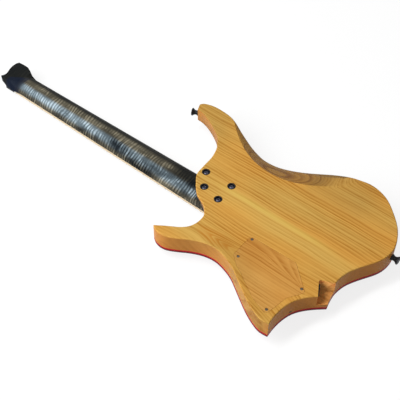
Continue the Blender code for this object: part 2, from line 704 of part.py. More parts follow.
def add_truss_rod(guitar, neck, steel):
    """A rod in a channel under the board, turned by a wheel past the end of the board."""
    wheel_x = BOARD_END + WHEEL_PAST_BOARD
    rod_end = wheel_x - ROD_BEFORE_WHEEL
    axis = NECK_FRONT + ROD_HEIGHT / 2 + SEAT_GAP
    half = ROD_WIDTH / 2
    low = NECK_FRONT + SEAT_GAP
    rod_mesh = prism_mesh("truss_rod", rectangle(ROD_START, rod_end, -half, half), low, low + ROD_HEIGHT)
    rod = place("truss_rod", rod_mesh, guitar, steel)
    channel = rectangle(ROD_START - SEAT_GAP, wheel_x, -half - SEAT_GAP, half + SEAT_GAP)
    channel_mesh = prism_mesh("channel_cutter", channel, NECK_FRONT - PAST_FACE, low + ROD_HEIGHT + SEAT_GAP)
    cut(neck, guide("channel_cutter", channel_mesh, guitar))
    notch_half = WHEEL_RADIUS + WHEEL_ROOM
    notch = rectangle(wheel_x - WHEEL_ROOM, HEEL_END + PAST_FACE, -notch_half, notch_half)
    notch_mesh = prism_mesh("notch_cutter", notch, NECK_FRONT - PAST_FACE, axis + notch_half)
    cut(neck, guide("notch_cutter", notch_mesh, guitar))
    bore_end = WHEEL_SHAFT_IN_ROD + ROD_BORE_PAST_SHAFT
    bore_mesh = cylinder_mesh("rod_bore_cutter", WHEEL_SHAFT_RADIUS + RUN_GAP, -PAST_FACE, bore_end, 16)
    bore = guide("rod_bore_cutter", bore_mesh, guitar)
    point_along(bore, (rod_end, 0, axis), (-1, 0, 0))
    cut(rod, bore)
    shaft_end = -WHEEL_SHAFT_IN_ROD - ROD_BEFORE_WHEEL
    wheel_profile = [
        (0, shaft_end), (WHEEL_SHAFT_RADIUS, shaft_end), (WHEEL_SHAFT_RADIUS, 0), (WHEEL_RADIUS, 0),
        (WHEEL_RADIUS, WHEEL_LENGTH), (0, WHEEL_LENGTH),
    ]
    wheel = place("truss_wheel", turned_mesh("truss_wheel", wheel_profile, 16), guitar, steel, 40)
    point_along(wheel, (wheel_x, 0, axis), (1, 0, 0))


def add_neck_bolts(guitar, body, neck, steel):
    """Each bolt runs from a ferrule in the back through the body into the heel."""
    ferrule_low = BODY_BACK - FERRULE_HEIGHT
    cup_floor = BODY_BACK - FERRULE_CUP_DEPTH
    hole = BOLT_RADIUS + SEAT_GAP
    ferrule_profile = [
        (hole, ferrule_low), (FERRULE_RADIUS, ferrule_low), (FERRULE_RADIUS, BODY_BACK),
        (BOLT_HEAD_RADIUS + SEAT_GAP, BODY_BACK), (BOLT_HEAD_RADIUS + SEAT_GAP, cup_floor), (hole, cup_floor),
    ]
    head_low = cup_floor + SEAT_GAP
    tip = HEEL_DEPTH - BOLT_IN_NECK
    bolt_profile = [
        (0, tip), (BOLT_RADIUS, tip), (BOLT_RADIUS, head_low), (BOLT_HEAD_RADIUS, head_low),
        (BOLT_HEAD_RADIUS, head_low + BOLT_HEAD_HEIGHT), (0, head_low + BOLT_HEAD_HEIGHT),
    ]
    outer = FERRULE_RADIUS + SEAT_GAP
    cutter_profile = [
        (0, tip - SEAT_GAP), (hole, tip - SEAT_GAP), (hole, ferrule_low - SEAT_GAP),
        (outer, ferrule_low - SEAT_GAP), (outer, BODY_BACK + PAST_FACE), (0, BODY_BACK + PAST_FACE),
    ]
    cutter_mesh = turned_mesh("bolt_cutter", cutter_profile, 20)
    ferrule_mesh = ring_mesh("neck_ferrule", ferrule_profile, 20)
    bolt_mesh = turned_mesh("neck_bolt", bolt_profile, 12)
    for number, (x, y) in enumerate(BOLT_PLACES, 1):
        spot = (*on_body(x, y), 0)
        ferrule = place("neck_ferrule_%d" % number, ferrule_mesh.copy(), guitar, steel, 40)
        bolt = place("neck_bolt_%d" % number, bolt_mesh.copy(), guitar, steel, 40)
        cutter = guide("bolt_cutter_%d" % number, cutter_mesh, guitar)
        ferrule.location = bolt.location = cutter.location = spot
        cut(body, cutter)
        cut(neck, cutter)


def ring_mesh(name, profile, sides):
    """A ring turned about Z from a closed profile that stays off the axis."""
    shape = bmesh.new()
    rings = []
    for radius, height in profile:
        angles = [2 * math.pi * i / sides for i in range(sides)]
        rings.append([shape.verts.new((radius * math.cos(a), radius * math.sin(a), height)) for a in angles])
    for low, high in zip(rings, rings[1:] + rings[:1]):
        for i in range(sides):
            j = (i + 1) % sides
            shape.faces.new((low[i], low[j], high[j], high[i]))
    bmesh.ops.recalc_face_normals(shape, faces=shape.faces)
    mesh = bpy.data.meshes.new(name)
    shape.to_mesh(mesh)
    shape.free()
    return mesh


# Controls


def add_pot_and_knob(guitar, name, spot, body, top, steel, plastic):
    """The knob and its shaft turn in the pot, which hangs on its bushing in the front wall."""
    low = CAVITY_LEVEL + SEAT_GAP
    high = low + POT_HEIGHT
    bushing_end = BODY_FRONT - BUSHING_PAST_FRONT
    bore = SHAFT_RADIUS + RUN_GAP
    shaft_end = low + SHAFT_IN_POT
    pot_profile = [
        (0, high), (POT_RADIUS, high), (POT_RADIUS, low), (BUSHING_RADIUS, low),
        (BUSHING_RADIUS, bushing_end), (bore, bushing_end), (bore, shaft_end + SEAT_GAP),
        (0, shaft_end + SEAT_GAP),
    ]
    pot = place(name + "_pot", turned_mesh(name + "_pot", pot_profile, 20), guitar, steel, 40)
    rim = BODY_FRONT - KNOB_OFF_FRONT
    face = BODY_FRONT - KNOB_HEIGHT
    hollow = BUSHING_RADIUS + 2 * RUN_GAP
    knob_profile = [
        (0, face), (KNOB_RADIUS - KNOB_CHAMFER, face), (KNOB_RADIUS, face + KNOB_CHAMFER), (KNOB_RADIUS, rim),
        (hollow, rim), (hollow, bushing_end - RUN_GAP), (SHAFT_RADIUS, bushing_end - RUN_GAP),
        (SHAFT_RADIUS, shaft_end), (0, shaft_end),
    ]
    knob = place(name + "_knob", turned_mesh(name + "_knob", knob_profile, 20), guitar, plastic, 40)
    hole_start = BODY_FRONT - PAST_FACE
    hole_end = CAVITY_LEVEL + PAST_FACE
    cutter_mesh = cylinder_mesh(name + "_cutter", BUSHING_RADIUS + SEAT_GAP, hole_start, hole_end, 20)
    cutter = guide(name + "_cutter", cutter_mesh, guitar)
    pot.location = knob.location = cutter.location = (*on_body(*spot), 0)
    cut(body, cutter)
    cut(top, cutter)


def add_switch(guitar, body, top, steel, plastic):
    """A lever on a ball, held in the bushing of a switch in the front wall."""
    centre_x, centre_y = on_body(*SWITCH_PLACE)
    low = CAVITY_LEVEL + SEAT_GAP
    half_x = SWITCH_LENGTH / 2
    half_y = SWITCH_WIDTH / 2
    box = rectangle(centre_x - half_x, centre_x + half_x, centre_y - half_y, centre_y + half_y)
    switch = place("switch_body", prism_mesh("switch_body", box, low, low + SWITCH_HEIGHT), guitar, plastic)
    bushing_end = BODY_FRONT - BUSHING_PAST_FRONT
    bushing_root = low + SWITCH_BUSHING_IN_BODY
    bushing_mesh = cylinder_mesh("switch_bushing", SWITCH_BUSHING_RADIUS, bushing_end, bushing_root, 20)
    bushing = guide("switch_bushing", bushing_mesh, guitar)
    pivot = BODY_FRONT + LEVER_PIVOT_DEPTH
    bore_start = bushing_end - PAST_FACE
    bore_end = pivot + SWITCH_BORE_PAST_PIVOT
    bore_mesh = cylinder_mesh("switch_bore_cutter", LEVER_BALL_RADIUS + RUN_GAP, bore_start, bore_end, 20)
    bore = guide("switch_bore_cutter", bore_mesh, guitar)
    hole_radius = SWITCH_BUSHING_RADIUS + SEAT_GAP
    hole_end = CAVITY_LEVEL + PAST_FACE
    hole_mesh = cylinder_mesh("switch_hole_cutter", hole_radius, BODY_FRONT - PAST_FACE, hole_end, 20)
    hole = guide("switch_hole_cutter", hole_mesh, guitar)
    bushing.location = bore.location = hole.location = (centre_x, centre_y, 0)
    combine(switch, bushing, "UNION")
    cut(switch, bore)
    cut(body, hole)
    cut(top, hole)
    tip = BODY_FRONT - LEVER_PAST_FRONT - pivot
    ball = LEVER_BALL_RADIUS
    profile = [(0, LEVER_TAIL_LENGTH), (LEVER_TAIL_RADIUS, LEVER_TAIL_LENGTH)]
    for degrees in range(65, -66, -26):
        angle = math.radians(degrees)
        profile.append((ball * math.cos(angle), ball * math.sin(angle)))
    wide = tip + LEVER_TIP_LENGTH
    profile += [
        (LEVER_RADIUS, -ball), (LEVER_RADIUS, wide + LEVER_TIP_TAPER), (LEVER_TIP_RADIUS, wide),
        (LEVER_TIP_RADIUS, tip + LEVER_TIP_ROUND), (LEVER_END_RADIUS, tip), (0, tip),
    ]
    lever = place("switch_lever", turned_mesh("switch_lever", profile, 12), guitar, steel, 40)
    lever.location = (centre_x, centre_y, pivot)


def add_output_jack(guitar, body, steel):
    """A barrel jack in the slanted wall of a scoop that is open to the tail."""
    scoop = [on_body(x, y) for x, y in reversed(SCOOP_OUTLINE)]
    scoop_mesh = prism_mesh("scoop_cutter", scoop, BODY_BACK - SCOOP_DEPTH, BODY_BACK + PAST_FACE)
    cut(body, guide("scoop_cutter", scoop_mesh, guitar))
    spot = (*on_body(*JACK_PLACE), BODY_BACK - JACK_DEPTH)
    inward = -Vector(JACK_DIRECTION)
    ring_end = JACK_RING_LENGTH - JACK_PROUD
    barrel_end = ring_end + JACK_BARREL_LENGTH
    ring_hole = JACK_RING_RADIUS + SEAT_GAP
    barrel_hole = JACK_BARREL_RADIUS + SEAT_GAP
    bore_profile = [
        (0, -JACK_BORE_OUTSIDE), (ring_hole, -JACK_BORE_OUTSIDE), (ring_hole, ring_end + SEAT_GAP),
        (barrel_hole, ring_end + SEAT_GAP), (barrel_hole, JACK_BORE_LENGTH), (0, JACK_BORE_LENGTH),
    ]
    bore = guide("jack_cutter", turned_mesh("jack_cutter", bore_profile, 24), guitar)
    point_along(bore, spot, inward)
    cut(body, bore)
    cup_floor = JACK_CUP_DEPTH - JACK_PROUD
    socket_end = barrel_end - JACK_END_WALL
    jack_profile = [
        (0, barrel_end), (JACK_BARREL_RADIUS, barrel_end), (JACK_BARREL_RADIUS, ring_end),
        (JACK_RING_RADIUS, ring_end), (JACK_RING_RADIUS, -JACK_PROUD), (JACK_CUP_RADIUS, -JACK_PROUD),
        (JACK_CUP_RADIUS, cup_floor), (JACK_SOCKET_RADIUS, cup_floor), (JACK_SOCKET_RADIUS, socket_end),
        (0, socket_end),
    ]
    jack = place("output_jack", turned_mesh("output_jack", jack_profile, 24), guitar, steel, 40)
    point_along(jack, spot, inward)


def add_strap_button(guitar, name, spot, axis, steel):
    profile = [(radius * MM, height * MM) for radius, height in BUTTON_PROFILE]
    button = place(name, turned_mesh(name, profile, 20), guitar, steel, 40)
    x, y, z = spot
    seat = Vector((*on_body(x, y), z * MM)) + Vector(axis) * SEAT_GAP
    point_along(button, seat, axis)


# Strings, clamp and bridge


def string_path(index):
    """The string's middle line from the clamp over nut and saddle into its carriage."""
    radius = STRING_RADII[index] * MM
    at_nut = string_half_pitch(NUT_SPREAD, index)
    at_bridge = string_half_pitch(BRIDGE_SPREAD, index)

    def at(x):
        y = mix(at_nut, at_bridge, x / SCALE_LENGTH)
        return Vector((x, y, -string_height(x, y) - radius))

    start = at(-CLAMP_START - STRING_IN_CLAMP)
    crest = at(SCALE_LENGTH + STRING_PAST_SADDLE)
    crest.y = at_bridge
    level = BODY_FRONT - CARRIAGE_AXIS_HEIGHT
    low = Vector((SCALE_LENGTH + STRING_LEVELS_OUT, at_bridge, level))
    end = Vector((SCALE_LENGTH + CARRIAGE_START + STRING_IN_CARRIAGE, at_bridge, level))
    return [start, at(0), at(SCALE_LENGTH / 2), crest, low, end]


def add_string(guitar, index, steel):
    name = "string_%d" % (index + 1)
    curve = bpy.data.curves.new(name, "CURVE")
    curve.dimensions = "3D"
    curve.bevel_depth = STRING_RADII[index] * MM
    curve.bevel_resolution = 1
    curve.use_fill_caps = True
    path = string_path(index)
    spline = curve.splines.new("POLY")
    spline.points.add(len(path) - 1)
    for point, spot in zip(spline.points, path):
        point.co = (*spot, 1.0)
    made = bpy.data.objects.new(name, curve)
    bpy.context.scene.collection.objects.link(made)
    made.parent = guitar
    curve.materials.append(steel)


def add_head_clamp(guitar, steel):
    """A block on the face of the head, bored for the six strings."""
    low = FLOOR_LEVEL
    high = NECK_FRONT - SEAT_GAP
    half = CLAMP_WIDTH / 2
    face = half - CLAMP_CHAMFER
    edge = low + CLAMP_CHAMFER
    section = [(half, high), (half, edge), (face, low), (-face, low), (-half, edge), (-half, high)]
    rings = [[(x, y, z) for y, z in section] for x in (-CLAMP_START - CLAMP_LENGTH, -CLAMP_START)]
    clamp = place("head_clamp", mesh_from_rings("head_clamp", rings), guitar, steel, 40)
    for index in range(len(STRING_RADII)):
        start, nut = string_path(index)[:2]
        bore_end = CLAMP_LENGTH + CLAMP_BORE_OUTSIDE
        bore_mesh = cylinder_mesh("clamp_cutter", CLAMP_HOLE_RADIUS, -CLAMP_BORE_OUTSIDE, bore_end, 10)
        bore = guide("clamp_cutter_%d" % (index + 1), bore_mesh, guitar)
        point_along(bore, start, nut - start)
        cut(clamp, bore)


def tuner_axis(index, past_saddle):
    """A place on the line of a tuner, at a distance past the saddle line."""
    y = string_half_pitch(BRIDGE_SPREAD, index)
    return (SCALE_LENGTH + past_saddle, y, BODY_FRONT - CARRIAGE_AXIS_HEIGHT)


def add_bridge(guitar, steel):
    low = BODY_FRONT - SEAT_GAP
    profile = [
        (PLATE_START, low), (BLOCK_START + BLOCK_LENGTH, low),
        (BLOCK_START + BLOCK_LENGTH, BODY_FRONT - BLOCK_HEIGHT), (BLOCK_START, BODY_FRONT - BLOCK_HEIGHT),
        (BLOCK_START, low - PLATE_THICKNESS), (PLATE_START, low - PLATE_THICKNESS),
    ]
    half = BRIDGE_WIDTH / 2
    rings = [[(SCALE_LENGTH + x, y, z) for x, z in profile] for y in (-half, half)]
    bridge = place("bridge_base", mesh_from_rings("bridge_base", rings), guitar, steel)
    bore_end = BLOCK_LENGTH + PAST_FACE
    bore_mesh = cylinder_mesh("tuner_cutter", CARRIAGE_RADIUS + RUN_GAP, -PAST_FACE, bore_end, 12)
    for index in range(len(STRING_RADII)):
        bore = guide("tuner_cutter_%d" % (index + 1), bore_mesh, guitar)
        point_along(bore, tuner_axis(index, BLOCK_START), (1, 0, 0))
        cut(bridge, bore)
    return bridge


def add_carriage(guitar, index, steel):
    """A round slide that holds the string's end; the tuner's screw runs in its rear."""
    number = index + 1
    end = CARRIAGE_LENGTH
    screw_bore = TUNER_SCREW_RADIUS + RUN_GAP
    profile = [
        (0, CARRIAGE_STRING_DEPTH), (CARRIAGE_STRING_BORE, CARRIAGE_STRING_DEPTH), (CARRIAGE_STRING_BORE, 0),
        (CARRIAGE_RADIUS, 0), (CARRIAGE_RADIUS, end), (screw_bore, end),
        (screw_bore, end - CARRIAGE_SCREW_DEPTH), (0, end - CARRIAGE_SCREW_DEPTH),
    ]
    name = "tuner_carriage_%d" % number
    carriage = place(name, turned_mesh(name, profile, 12), guitar, steel, 40)
    point_along(carriage, tuner_axis(index, CARRIAGE_START), (1, 0, 0))


def add_tuner_knob(guitar, index, steel):
    number = index + 1
    face = BLOCK_START + BLOCK_LENGTH + SEAT_GAP
    profile = [
        (0, -TUNER_SCREW_LENGTH), (TUNER_SCREW_RADIUS, -TUNER_SCREW_LENGTH), (TUNER_SCREW_RADIUS, 0),
        (TUNER_KNOB_RADIUS, 0), (TUNER_KNOB_RADIUS, TUNER_KNOB_LENGTH), (0, TUNER_KNOB_LENGTH),
    ]
    name = "tuner_knob_%d" % number
    knob = place(name, turned_mesh(name, profile, 16), guitar, steel, 40)
    point_along(knob, tuner_axis(index, face), (1, 0, 0))


def add_saddle(guitar, index, steel):
    """A block on the bridge plate whose crest carries the string."""
    number = index + 1
    y = string_half_pitch(BRIDGE_SPREAD, index)
    floor = BODY_FRONT - SEAT_GAP - PLATE_THICKNESS - SEAT_GAP
    crest = -(string_height(SCALE_LENGTH, y) - SEAT_GAP)
    profile = [
        (-SADDLE_FRONT, floor), (SADDLE_REAR, floor), (SADDLE_REAR, crest + SADDLE_REAR_DROP),
        (SADDLE_CREST_HALF, crest), (-SADDLE_CREST_HALF, crest), (-SADDLE_FRONT, crest + SADDLE_FRONT_DROP),
    ]
    half = SADDLE_WIDTH / 2
    rings = [[(SCALE_LENGTH + px, y + side, pz) for px, pz in profile] for side in (-half, half)]
    name = "saddle_%d" % number
    place(name, mesh_from_rings(name, rings), guitar, steel)


def settle_on_floor(guitar):
    """Moves the guitar so that the middle of its box stands over the origin."""
    bpy.context.view_layer.update()
    graph = bpy.context.evaluated_depsgraph_get()
    low = Vector((math.inf,) * 3)
    high = Vector((-math.inf,) * 3)
    for part in guitar.children:
        if part.display_type == "WIRE":
            continue
        ready = part.evaluated_get(graph)
        mesh = ready.to_mesh()
        for vertex in mesh.vertices:
            spot = ready.matrix_world @ vertex.co
            low = Vector(map(min, low, spot))
            high = Vector(map(max, high, spot))
        ready.to_mesh_clear()
    middle = (low + high) / 2
    guitar.location = (-middle.x, -middle.y, -low.z)


def main():
    remove_old_objects()
    ash = material("ash", (0.56, 0.30, 0.06), 0.35)
    cover_wood = material("cover_wood", (0.52, 0.26, 0.055), 0.35)
    red = material("dark_red", (0.19, 0.004, 0.008), 0.25)
    neck_wood = material("charcoal_neck", (0.035, 0.036, 0.032), 0.3)
    board_wood = material("pale_board", (0.60, 0.50, 0.34), 0.5)
    bone = material("white_nut", (0.80, 0.78, 0.70), 0.4)
    black_metal = material("black_metal", (0.015, 0.015, 0.017), 0.4, 0.8)
    bright_steel = material("bright_steel", (0.60, 0.60, 0.60), 0.3, 1.0)
    grey_screw = material("grey_screw", (0.16, 0.16, 0.15), 0.45, 0.7)
    black_plastic = material("black_plastic", (0.012, 0.012, 0.012), 0.5)

    guitar = bpy.data.objects.new("guitar", None)
    bpy.context.scene.collection.objects.link(guitar)

    body = add_body(guitar, ash)
    top = add_body_top(guitar, red)
    cut_belly(guitar, body)
    cut_horn_bevel(guitar, [body, top])
    cut_heel_undercut(guitar, [body, top])
    cut_neck_pocket(guitar, [body, top])
    add_pickup(guitar, "neck_pickup", NECK_PICKUP_MIDDLE, black_plastic, [body, top])
    add_pickup(guitar, "bridge_pickup", BRIDGE_PICKUP_MIDDLE, black_plastic, [body, top])
    cover = add_control_cover(guitar, body, cover_wood)
    add_cover_screws(guitar, body, cover, grey_screw)
    add_pot_and_knob(guitar, "volume", VOLUME_PLACE, body, top, bright_steel, black_metal)
    add_pot_and_knob(guitar, "tone", TONE_PLACE, body, top, bright_steel, black_metal)
    add_switch(guitar, body, top, black_metal, black_plastic)
    add_output_jack(guitar, body, black_metal)
    neck = add_neck(guitar, neck_wood)
    add_truss_rod(guitar, neck, bright_steel)
    add_neck_bolts(guitar, body, neck, black_metal)
    add_fingerboard(guitar, board_wood)
    add_nut(guitar, bone)
    add_head_clamp(guitar, black_metal)
    add_strap_button(guitar, "horn_strap_button", HORN_BUTTON, HORN_BUTTON_AXIS, black_metal)
    add_strap_button(guitar, "tail_strap_button", TAIL_BUTTON, TAIL_BUTTON_AXIS, black_metal)
    add_bridge(guitar, black_metal)
    for index in range(len(STRING_RADII)):
        add_string(guitar, index, bright_steel)
        add_carriage(guitar, index, black_metal)
        add_tuner_knob(guitar, index, black_metal)
        add_saddle(guitar, index, black_metal)
    settle_on_floor(guitar)


main()
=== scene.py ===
"""The looks of a headless electric guitar that lies on its face."""

import json
import math

import bmesh
import bpy
from mathutils import Matrix, Vector

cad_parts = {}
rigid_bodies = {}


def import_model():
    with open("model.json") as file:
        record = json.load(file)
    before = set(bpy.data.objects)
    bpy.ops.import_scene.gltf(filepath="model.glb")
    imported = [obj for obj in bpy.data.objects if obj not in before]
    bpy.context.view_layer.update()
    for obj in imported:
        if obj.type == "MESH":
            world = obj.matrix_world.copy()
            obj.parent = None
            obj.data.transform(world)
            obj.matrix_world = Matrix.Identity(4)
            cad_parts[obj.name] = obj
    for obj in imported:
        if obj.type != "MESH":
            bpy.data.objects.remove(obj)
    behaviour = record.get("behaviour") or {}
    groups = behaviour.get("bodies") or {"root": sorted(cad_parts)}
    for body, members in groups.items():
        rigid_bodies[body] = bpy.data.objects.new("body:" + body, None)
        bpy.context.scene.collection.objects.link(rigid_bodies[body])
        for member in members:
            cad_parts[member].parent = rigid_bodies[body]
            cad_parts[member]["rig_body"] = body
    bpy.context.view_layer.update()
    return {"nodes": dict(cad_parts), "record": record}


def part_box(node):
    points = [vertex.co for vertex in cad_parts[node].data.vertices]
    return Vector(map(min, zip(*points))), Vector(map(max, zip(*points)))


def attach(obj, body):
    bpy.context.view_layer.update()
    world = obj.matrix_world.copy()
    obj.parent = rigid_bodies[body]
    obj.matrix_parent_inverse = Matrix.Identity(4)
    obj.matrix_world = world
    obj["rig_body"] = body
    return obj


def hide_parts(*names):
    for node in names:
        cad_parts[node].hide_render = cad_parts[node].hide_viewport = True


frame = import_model()

MM = 0.001
UP = (0.0, 0.0, 1.0)
DOWN = (0.0, 0.0, -1.0)
TO_TAIL = (1.0, 0.0, 0.0)
TO_BASS = (0.0, 1.0, 0.0)
STRINGS = range(1, 7)
CORNERS = range(1, 5)
SLOTS = {part["node"]: part["material_slot"] for part in frame["record"]["subparts"]}

# The camera stands where the photograph was taken from
CAMERA_AZIMUTH = 38.8
CAMERA_ELEVATION = 50.0
CAMERA_DISTANCE = 1.4476
CAMERA_TARGET = Vector((0.07345, -0.01255, 0.0085))
CAMERA_LENS = 76.6
SENSOR_WIDTH = 36.0

# Lamp, world and floor, under which a colour on the flat back renders as it is written
WORLD_LIGHT = 0.22
KEY_AZIMUTH = -34.0
KEY_ELEVATION = 48.0
KEY_DISTANCE = 2.6
KEY_SIZE = (0.35, 3.6)
KEY_POWER = 98.0
FLOOR_SIZE = 9.0
FLOOR_LEVEL = -0.5 * MM
FLOOR_GREY = 0.5
FLOOR_ROUGHNESS = 0.9
FLOOR_GLOW = 1.36
FLOOR_GLOW_SHARE = 0.60

# Places in the frame
BODY_LOW, BODY_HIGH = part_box("body")
BACK = BODY_HIGH.z
MIDDLE_Y = (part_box("bridge_base")[0].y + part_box("bridge_base")[1].y) / 2
BOARD_LOW, BOARD_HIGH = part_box("fingerboard")
NUT_X = BOARD_LOW.x
FRONT_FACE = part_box("body_top")[0].z

# Fingerboard, as the neck's sizes give it
SCALE_LENGTH = 647.7 * MM
FRET_COUNT = 24
FRET_WIDTH = 2.4 * MM
FRET_HEIGHT = 1.1 * MM
FRET_SINK = 0.05 * MM
FRET_BEVEL = 1.0 * MM
FRET_END_HEIGHT = 0.35
NUT_HALF_WIDTH = 21.5 * MM
BOARD_RADIUS = 406.0 * MM
BOARD_FACE = BOARD_LOW.z + FRET_HEIGHT
BOARD_CHAMFER = 0.3 * MM
BOARD_ROLL = 0.5 * MM
DOT_FRETS = (3, 5, 7, 9, 12, 15, 17, 19, 21, 24)
DOUBLE_DOT_FRETS = (12, 24)
DOT_OFFSET = 10.5 * MM
DOT_RADIUS = 3.0 * MM
SIDE_DOT_RADIUS = 1.1 * MM

# Turned pieces: radius and height in millimetres
BUTTON_HEIGHT = 12.5
BUTTON_PROFILE = [
    (0.0, 0.0), (5.6, 0.0), (5.6, 1.0), (5.3, 1.5), (4.4, 2.9), (4.0, 4.4), (4.05, 5.8), (4.6, 7.3),
    (5.9, 9.2), (6.9, 10.3), (7.2, 11.0), (7.1, 11.8), (6.6, 12.4), (5.8, BUTTON_HEIGHT), (4.6, 12.3),
    (4.2, 11.6), (4.0, 10.6), (0.0, 10.6),
]
BUTTON_SCREW_PROFILE = [(0.0, 10.4), (3.7, 10.4), (3.7, 11.0), (3.4, 11.6), (2.4, 12.1), (0.0, 12.3)]
JACK_RING_PROFILE = [
    (5.2, 7.2), (9.6, 7.0), (9.7, 6.8), (9.7, 0.4), (9.3, 0.0), (8.3, 0.0), (7.9, 0.5), (6.4, 0.5),
    (6.0, 0.9), (6.0, 2.0), (3.3, 2.0),
]
JACK_DIRECTION = (0.869, 0.495, 0.0)

# Ash: colours, the pitch of its rings, and a painted shade for its walls, which also warms them
ASH_LIGHT = (0.67, 0.384, 0.093)
ASH_DARK = (0.43, 0.190, 0.026)
ASH_PALE = (0.71, 0.475, 0.100)
ASH_ORANGE = (0.52, 0.200, 0.022)
RING = 5.3 * MM
WALL_PAINTED_SHADE = (0.90, 0.70, 0.64)

# The stretch of wall beside the control cover, whose rings show nearly as strongly as the back's, and which
# takes its own painted shade
LOWER_EDGE_START = (205.0 * MM, 225.0 * MM)
LOWER_EDGE_END = (320.0 * MM, 308.0 * MM)
LOWER_EDGE_PAINTED_SHADE = (0.82, 0.74, 0.62)

# The seam between the boards, and the calm rings on its treble side
SEAM_Y = 5.8 * MM
SEAM_BLEND = 0.05 * MM
SEAM_WIDTH = (9.0 * MM, 0.5 * MM)
SEAM_START = (60.0 * MM, 150.0 * MM)
SEAM_END = (345.0 * MM, 270.0 * MM)
CALM_LOW = (-34.0 * MM, -16.0 * MM)
CALM_HIGH = (9.0 * MM, 6.0 * MM)
CALM_START = (60.0 * MM, 140.0 * MM)

# The carve on the bass side, where the rings are cut through and the colours are painted darker as shade
CARVE_TURN = (120.0 * MM, 235.0 * MM)
CARVE_SIDE = (55.0 * MM, 75.0 * MM)
CARVE_FADE = (255.0 * MM, 222.0 * MM)
CARVE_SHADED_LIGHT = (0.40, 0.215, 0.050)
CARVE_SHADED_DARK = (0.19, 0.078, 0.014)
CARVE_FACE_AREA = 20.0 * MM * MM

# The swirl in the treble board, and the point that the cover's grain fans out from
SWIRL_X = 136.0 * MM
SWIRL_Y = -86.0 * MM
KNOT_X = SWIRL_X + 28.0 * MM
KNOT_SIZE = (44.0 * MM, 17.0 * MM)
FAN_X = 326.0 * MM
FAN_Y = -81.0 * MM

# The scoop for the jack, with painted light inside it, and a dark spot on the tail wall
SCOOP_X = 337.35 * MM
SCOOP_Y = -53.75 * MM
SCOOP_EDGE = (0.1 * MM, 0.6 * MM)
SCOOP_FLOOR = (24.3 * MM, 23.9 * MM)
SCOOP_PAINTED_LIGHT = (1.42, 1.22, 1.60)
SPOT_START = (300.0 * MM, 302.0 * MM)
SPOT_Y = -110.0 * MM
SPOT_Z = 26.0 * MM
SPOT_SIZE = (3.4 * MM, 2.6 * MM)
SPOT_COLOUR = (0.075, 0.052, 0.018)

# Red stain of the front, which reaches up onto the ash as a thin rim
STAIN_RED = (0.62, 0.006, 0.018)
# Painted shade, nearly black, along the front's edge next to the face
FACE_EDGE_SHADE = (0.020, 0.001, 0.002)
RIM_HEIGHT = 2.4 * MM
RIM_BLEND = 0.4 * MM

# Neck: how far its flames are apart, and how its half width grows from the nut
FLAME_PITCH = 5.6 * MM
NECK_FLARE = 0.0145
# A painted bluish reflection on the head's slanted facet
HEAD_REFLECTION_BLUE = (0.005, 0.009, 0.024)

# Plain finishes: darkest and lightest colour, roughness, metallic, specular and grain in cells per metre
EVEN = (500.0, 500.0, 500.0)
BRUSHED = (900.0, 60.0, 60.0)
PLAIN_FINISHES = {
    "nut_plastic": ((0.70, 0.67, 0.56), (0.80, 0.78, 0.70), 0.38, 0.0, 0.5, EVEN),
    "black_metal": ((0.005, 0.005, 0.006), (0.014, 0.014, 0.016), 0.34, 0.0, 0.16, EVEN),
    "bright_steel": ((0.46, 0.46, 0.46), (0.64, 0.64, 0.63), 0.28, 1.0, 0.5, BRUSHED),
    "grey_screw": ((0.10, 0.082, 0.058), (0.19, 0.155, 0.105), 0.5, 0.1, 0.15, EVEN),
    "black_plastic": ((0.010, 0.010, 0.010), (0.018, 0.018, 0.018), 0.45, 0.0, 0.5, EVEN),
    "bolt_head": ((0.030, 0.030, 0.042), (0.09, 0.09, 0.125), 0.34, 0.8, 0.5, EVEN),
}
WOUND_STRINGS = (4, 5, 6)
WINDING_PITCH = 0.55 * MM


def direction(azimuth, elevation):
    """Where a camera or lamp at these angles stands, seen from the middle."""
    a, e = math.radians(azimuth), math.radians(elevation)
    return Vector((math.sin(a) * math.cos(e), -math.cos(a) * math.cos(e), math.sin(e)))


def new_object(name, data):
    made = bpy.data.objects.new(name, data)
    bpy.context.scene.collection.objects.link(made)
    return made


# Camera, lamp, world and floor


def add_camera():
    data = bpy.data.cameras.new("camera")
    data.lens = CAMERA_LENS
    data.sensor_width = SENSOR_WIDTH
    camera = new_object("camera", data)
    stand = direction(CAMERA_AZIMUTH, CAMERA_ELEVATION)
    camera.location = CAMERA_TARGET + stand * CAMERA_DISTANCE
    camera.rotation_euler = stand.to_track_quat("Z", "Y").to_euler()
    bpy.context.scene.camera = camera


def add_key_light():
    """A long soft lamp that arches across the neck, so that its gloss is a broad band."""
    data = bpy.data.lights.new("key", "AREA")
    data.shape = "RECTANGLE"
    data.size, data.size_y = KEY_SIZE
    data.energy = KEY_POWER
    stand = direction(KEY_AZIMUTH, KEY_ELEVATION)
    long_axis = Vector((0.0, stand.z, -stand.y)).normalized()
    turn = Matrix((long_axis.cross(stand), long_axis, stand)).transposed()
    light = new_object("key", data)
    light.matrix_world = Matrix.Translation(stand * KEY_DISTANCE) @ turn.to_4x4()


def seen_directly(tree):
    """1 for what the camera, a gloss or a glass sees, and 0 for light that falls on things."""
    path = tree.nodes.new("ShaderNodeLightPath")
    total = path.outputs["Is Camera Ray"]
    for name in ("Is Glossy Ray", "Is Transmission Ray"):
        join = tree.nodes.new("ShaderNodeMath")
        join.operation = "MAXIMUM"
        tree.links.new(total, join.inputs[0])
        tree.links.new(path.outputs[name], join.inputs[1])
        total = join.outputs[0]
    return total


def add_world():
    """A world that looks plain white, and of which less falls on things."""
    world = bpy.data.worlds.new("studio")
    bpy.context.scene.world = world
    world.use_nodes = True
    tree = world.node_tree
    background = tree.nodes["Background"]
    background.inputs["Color"].default_value = (1.0, 1.0, 1.0, 1.0)
    strength = tree.nodes.new("ShaderNodeMapRange")
    strength.inputs["To Min"].default_value = WORLD_LIGHT
    strength.inputs["To Max"].default_value = 1.0
    tree.links.new(seen_directly(tree), strength.inputs["Value"])
    tree.links.new(strength.outputs["Result"], background.inputs["Strength"])


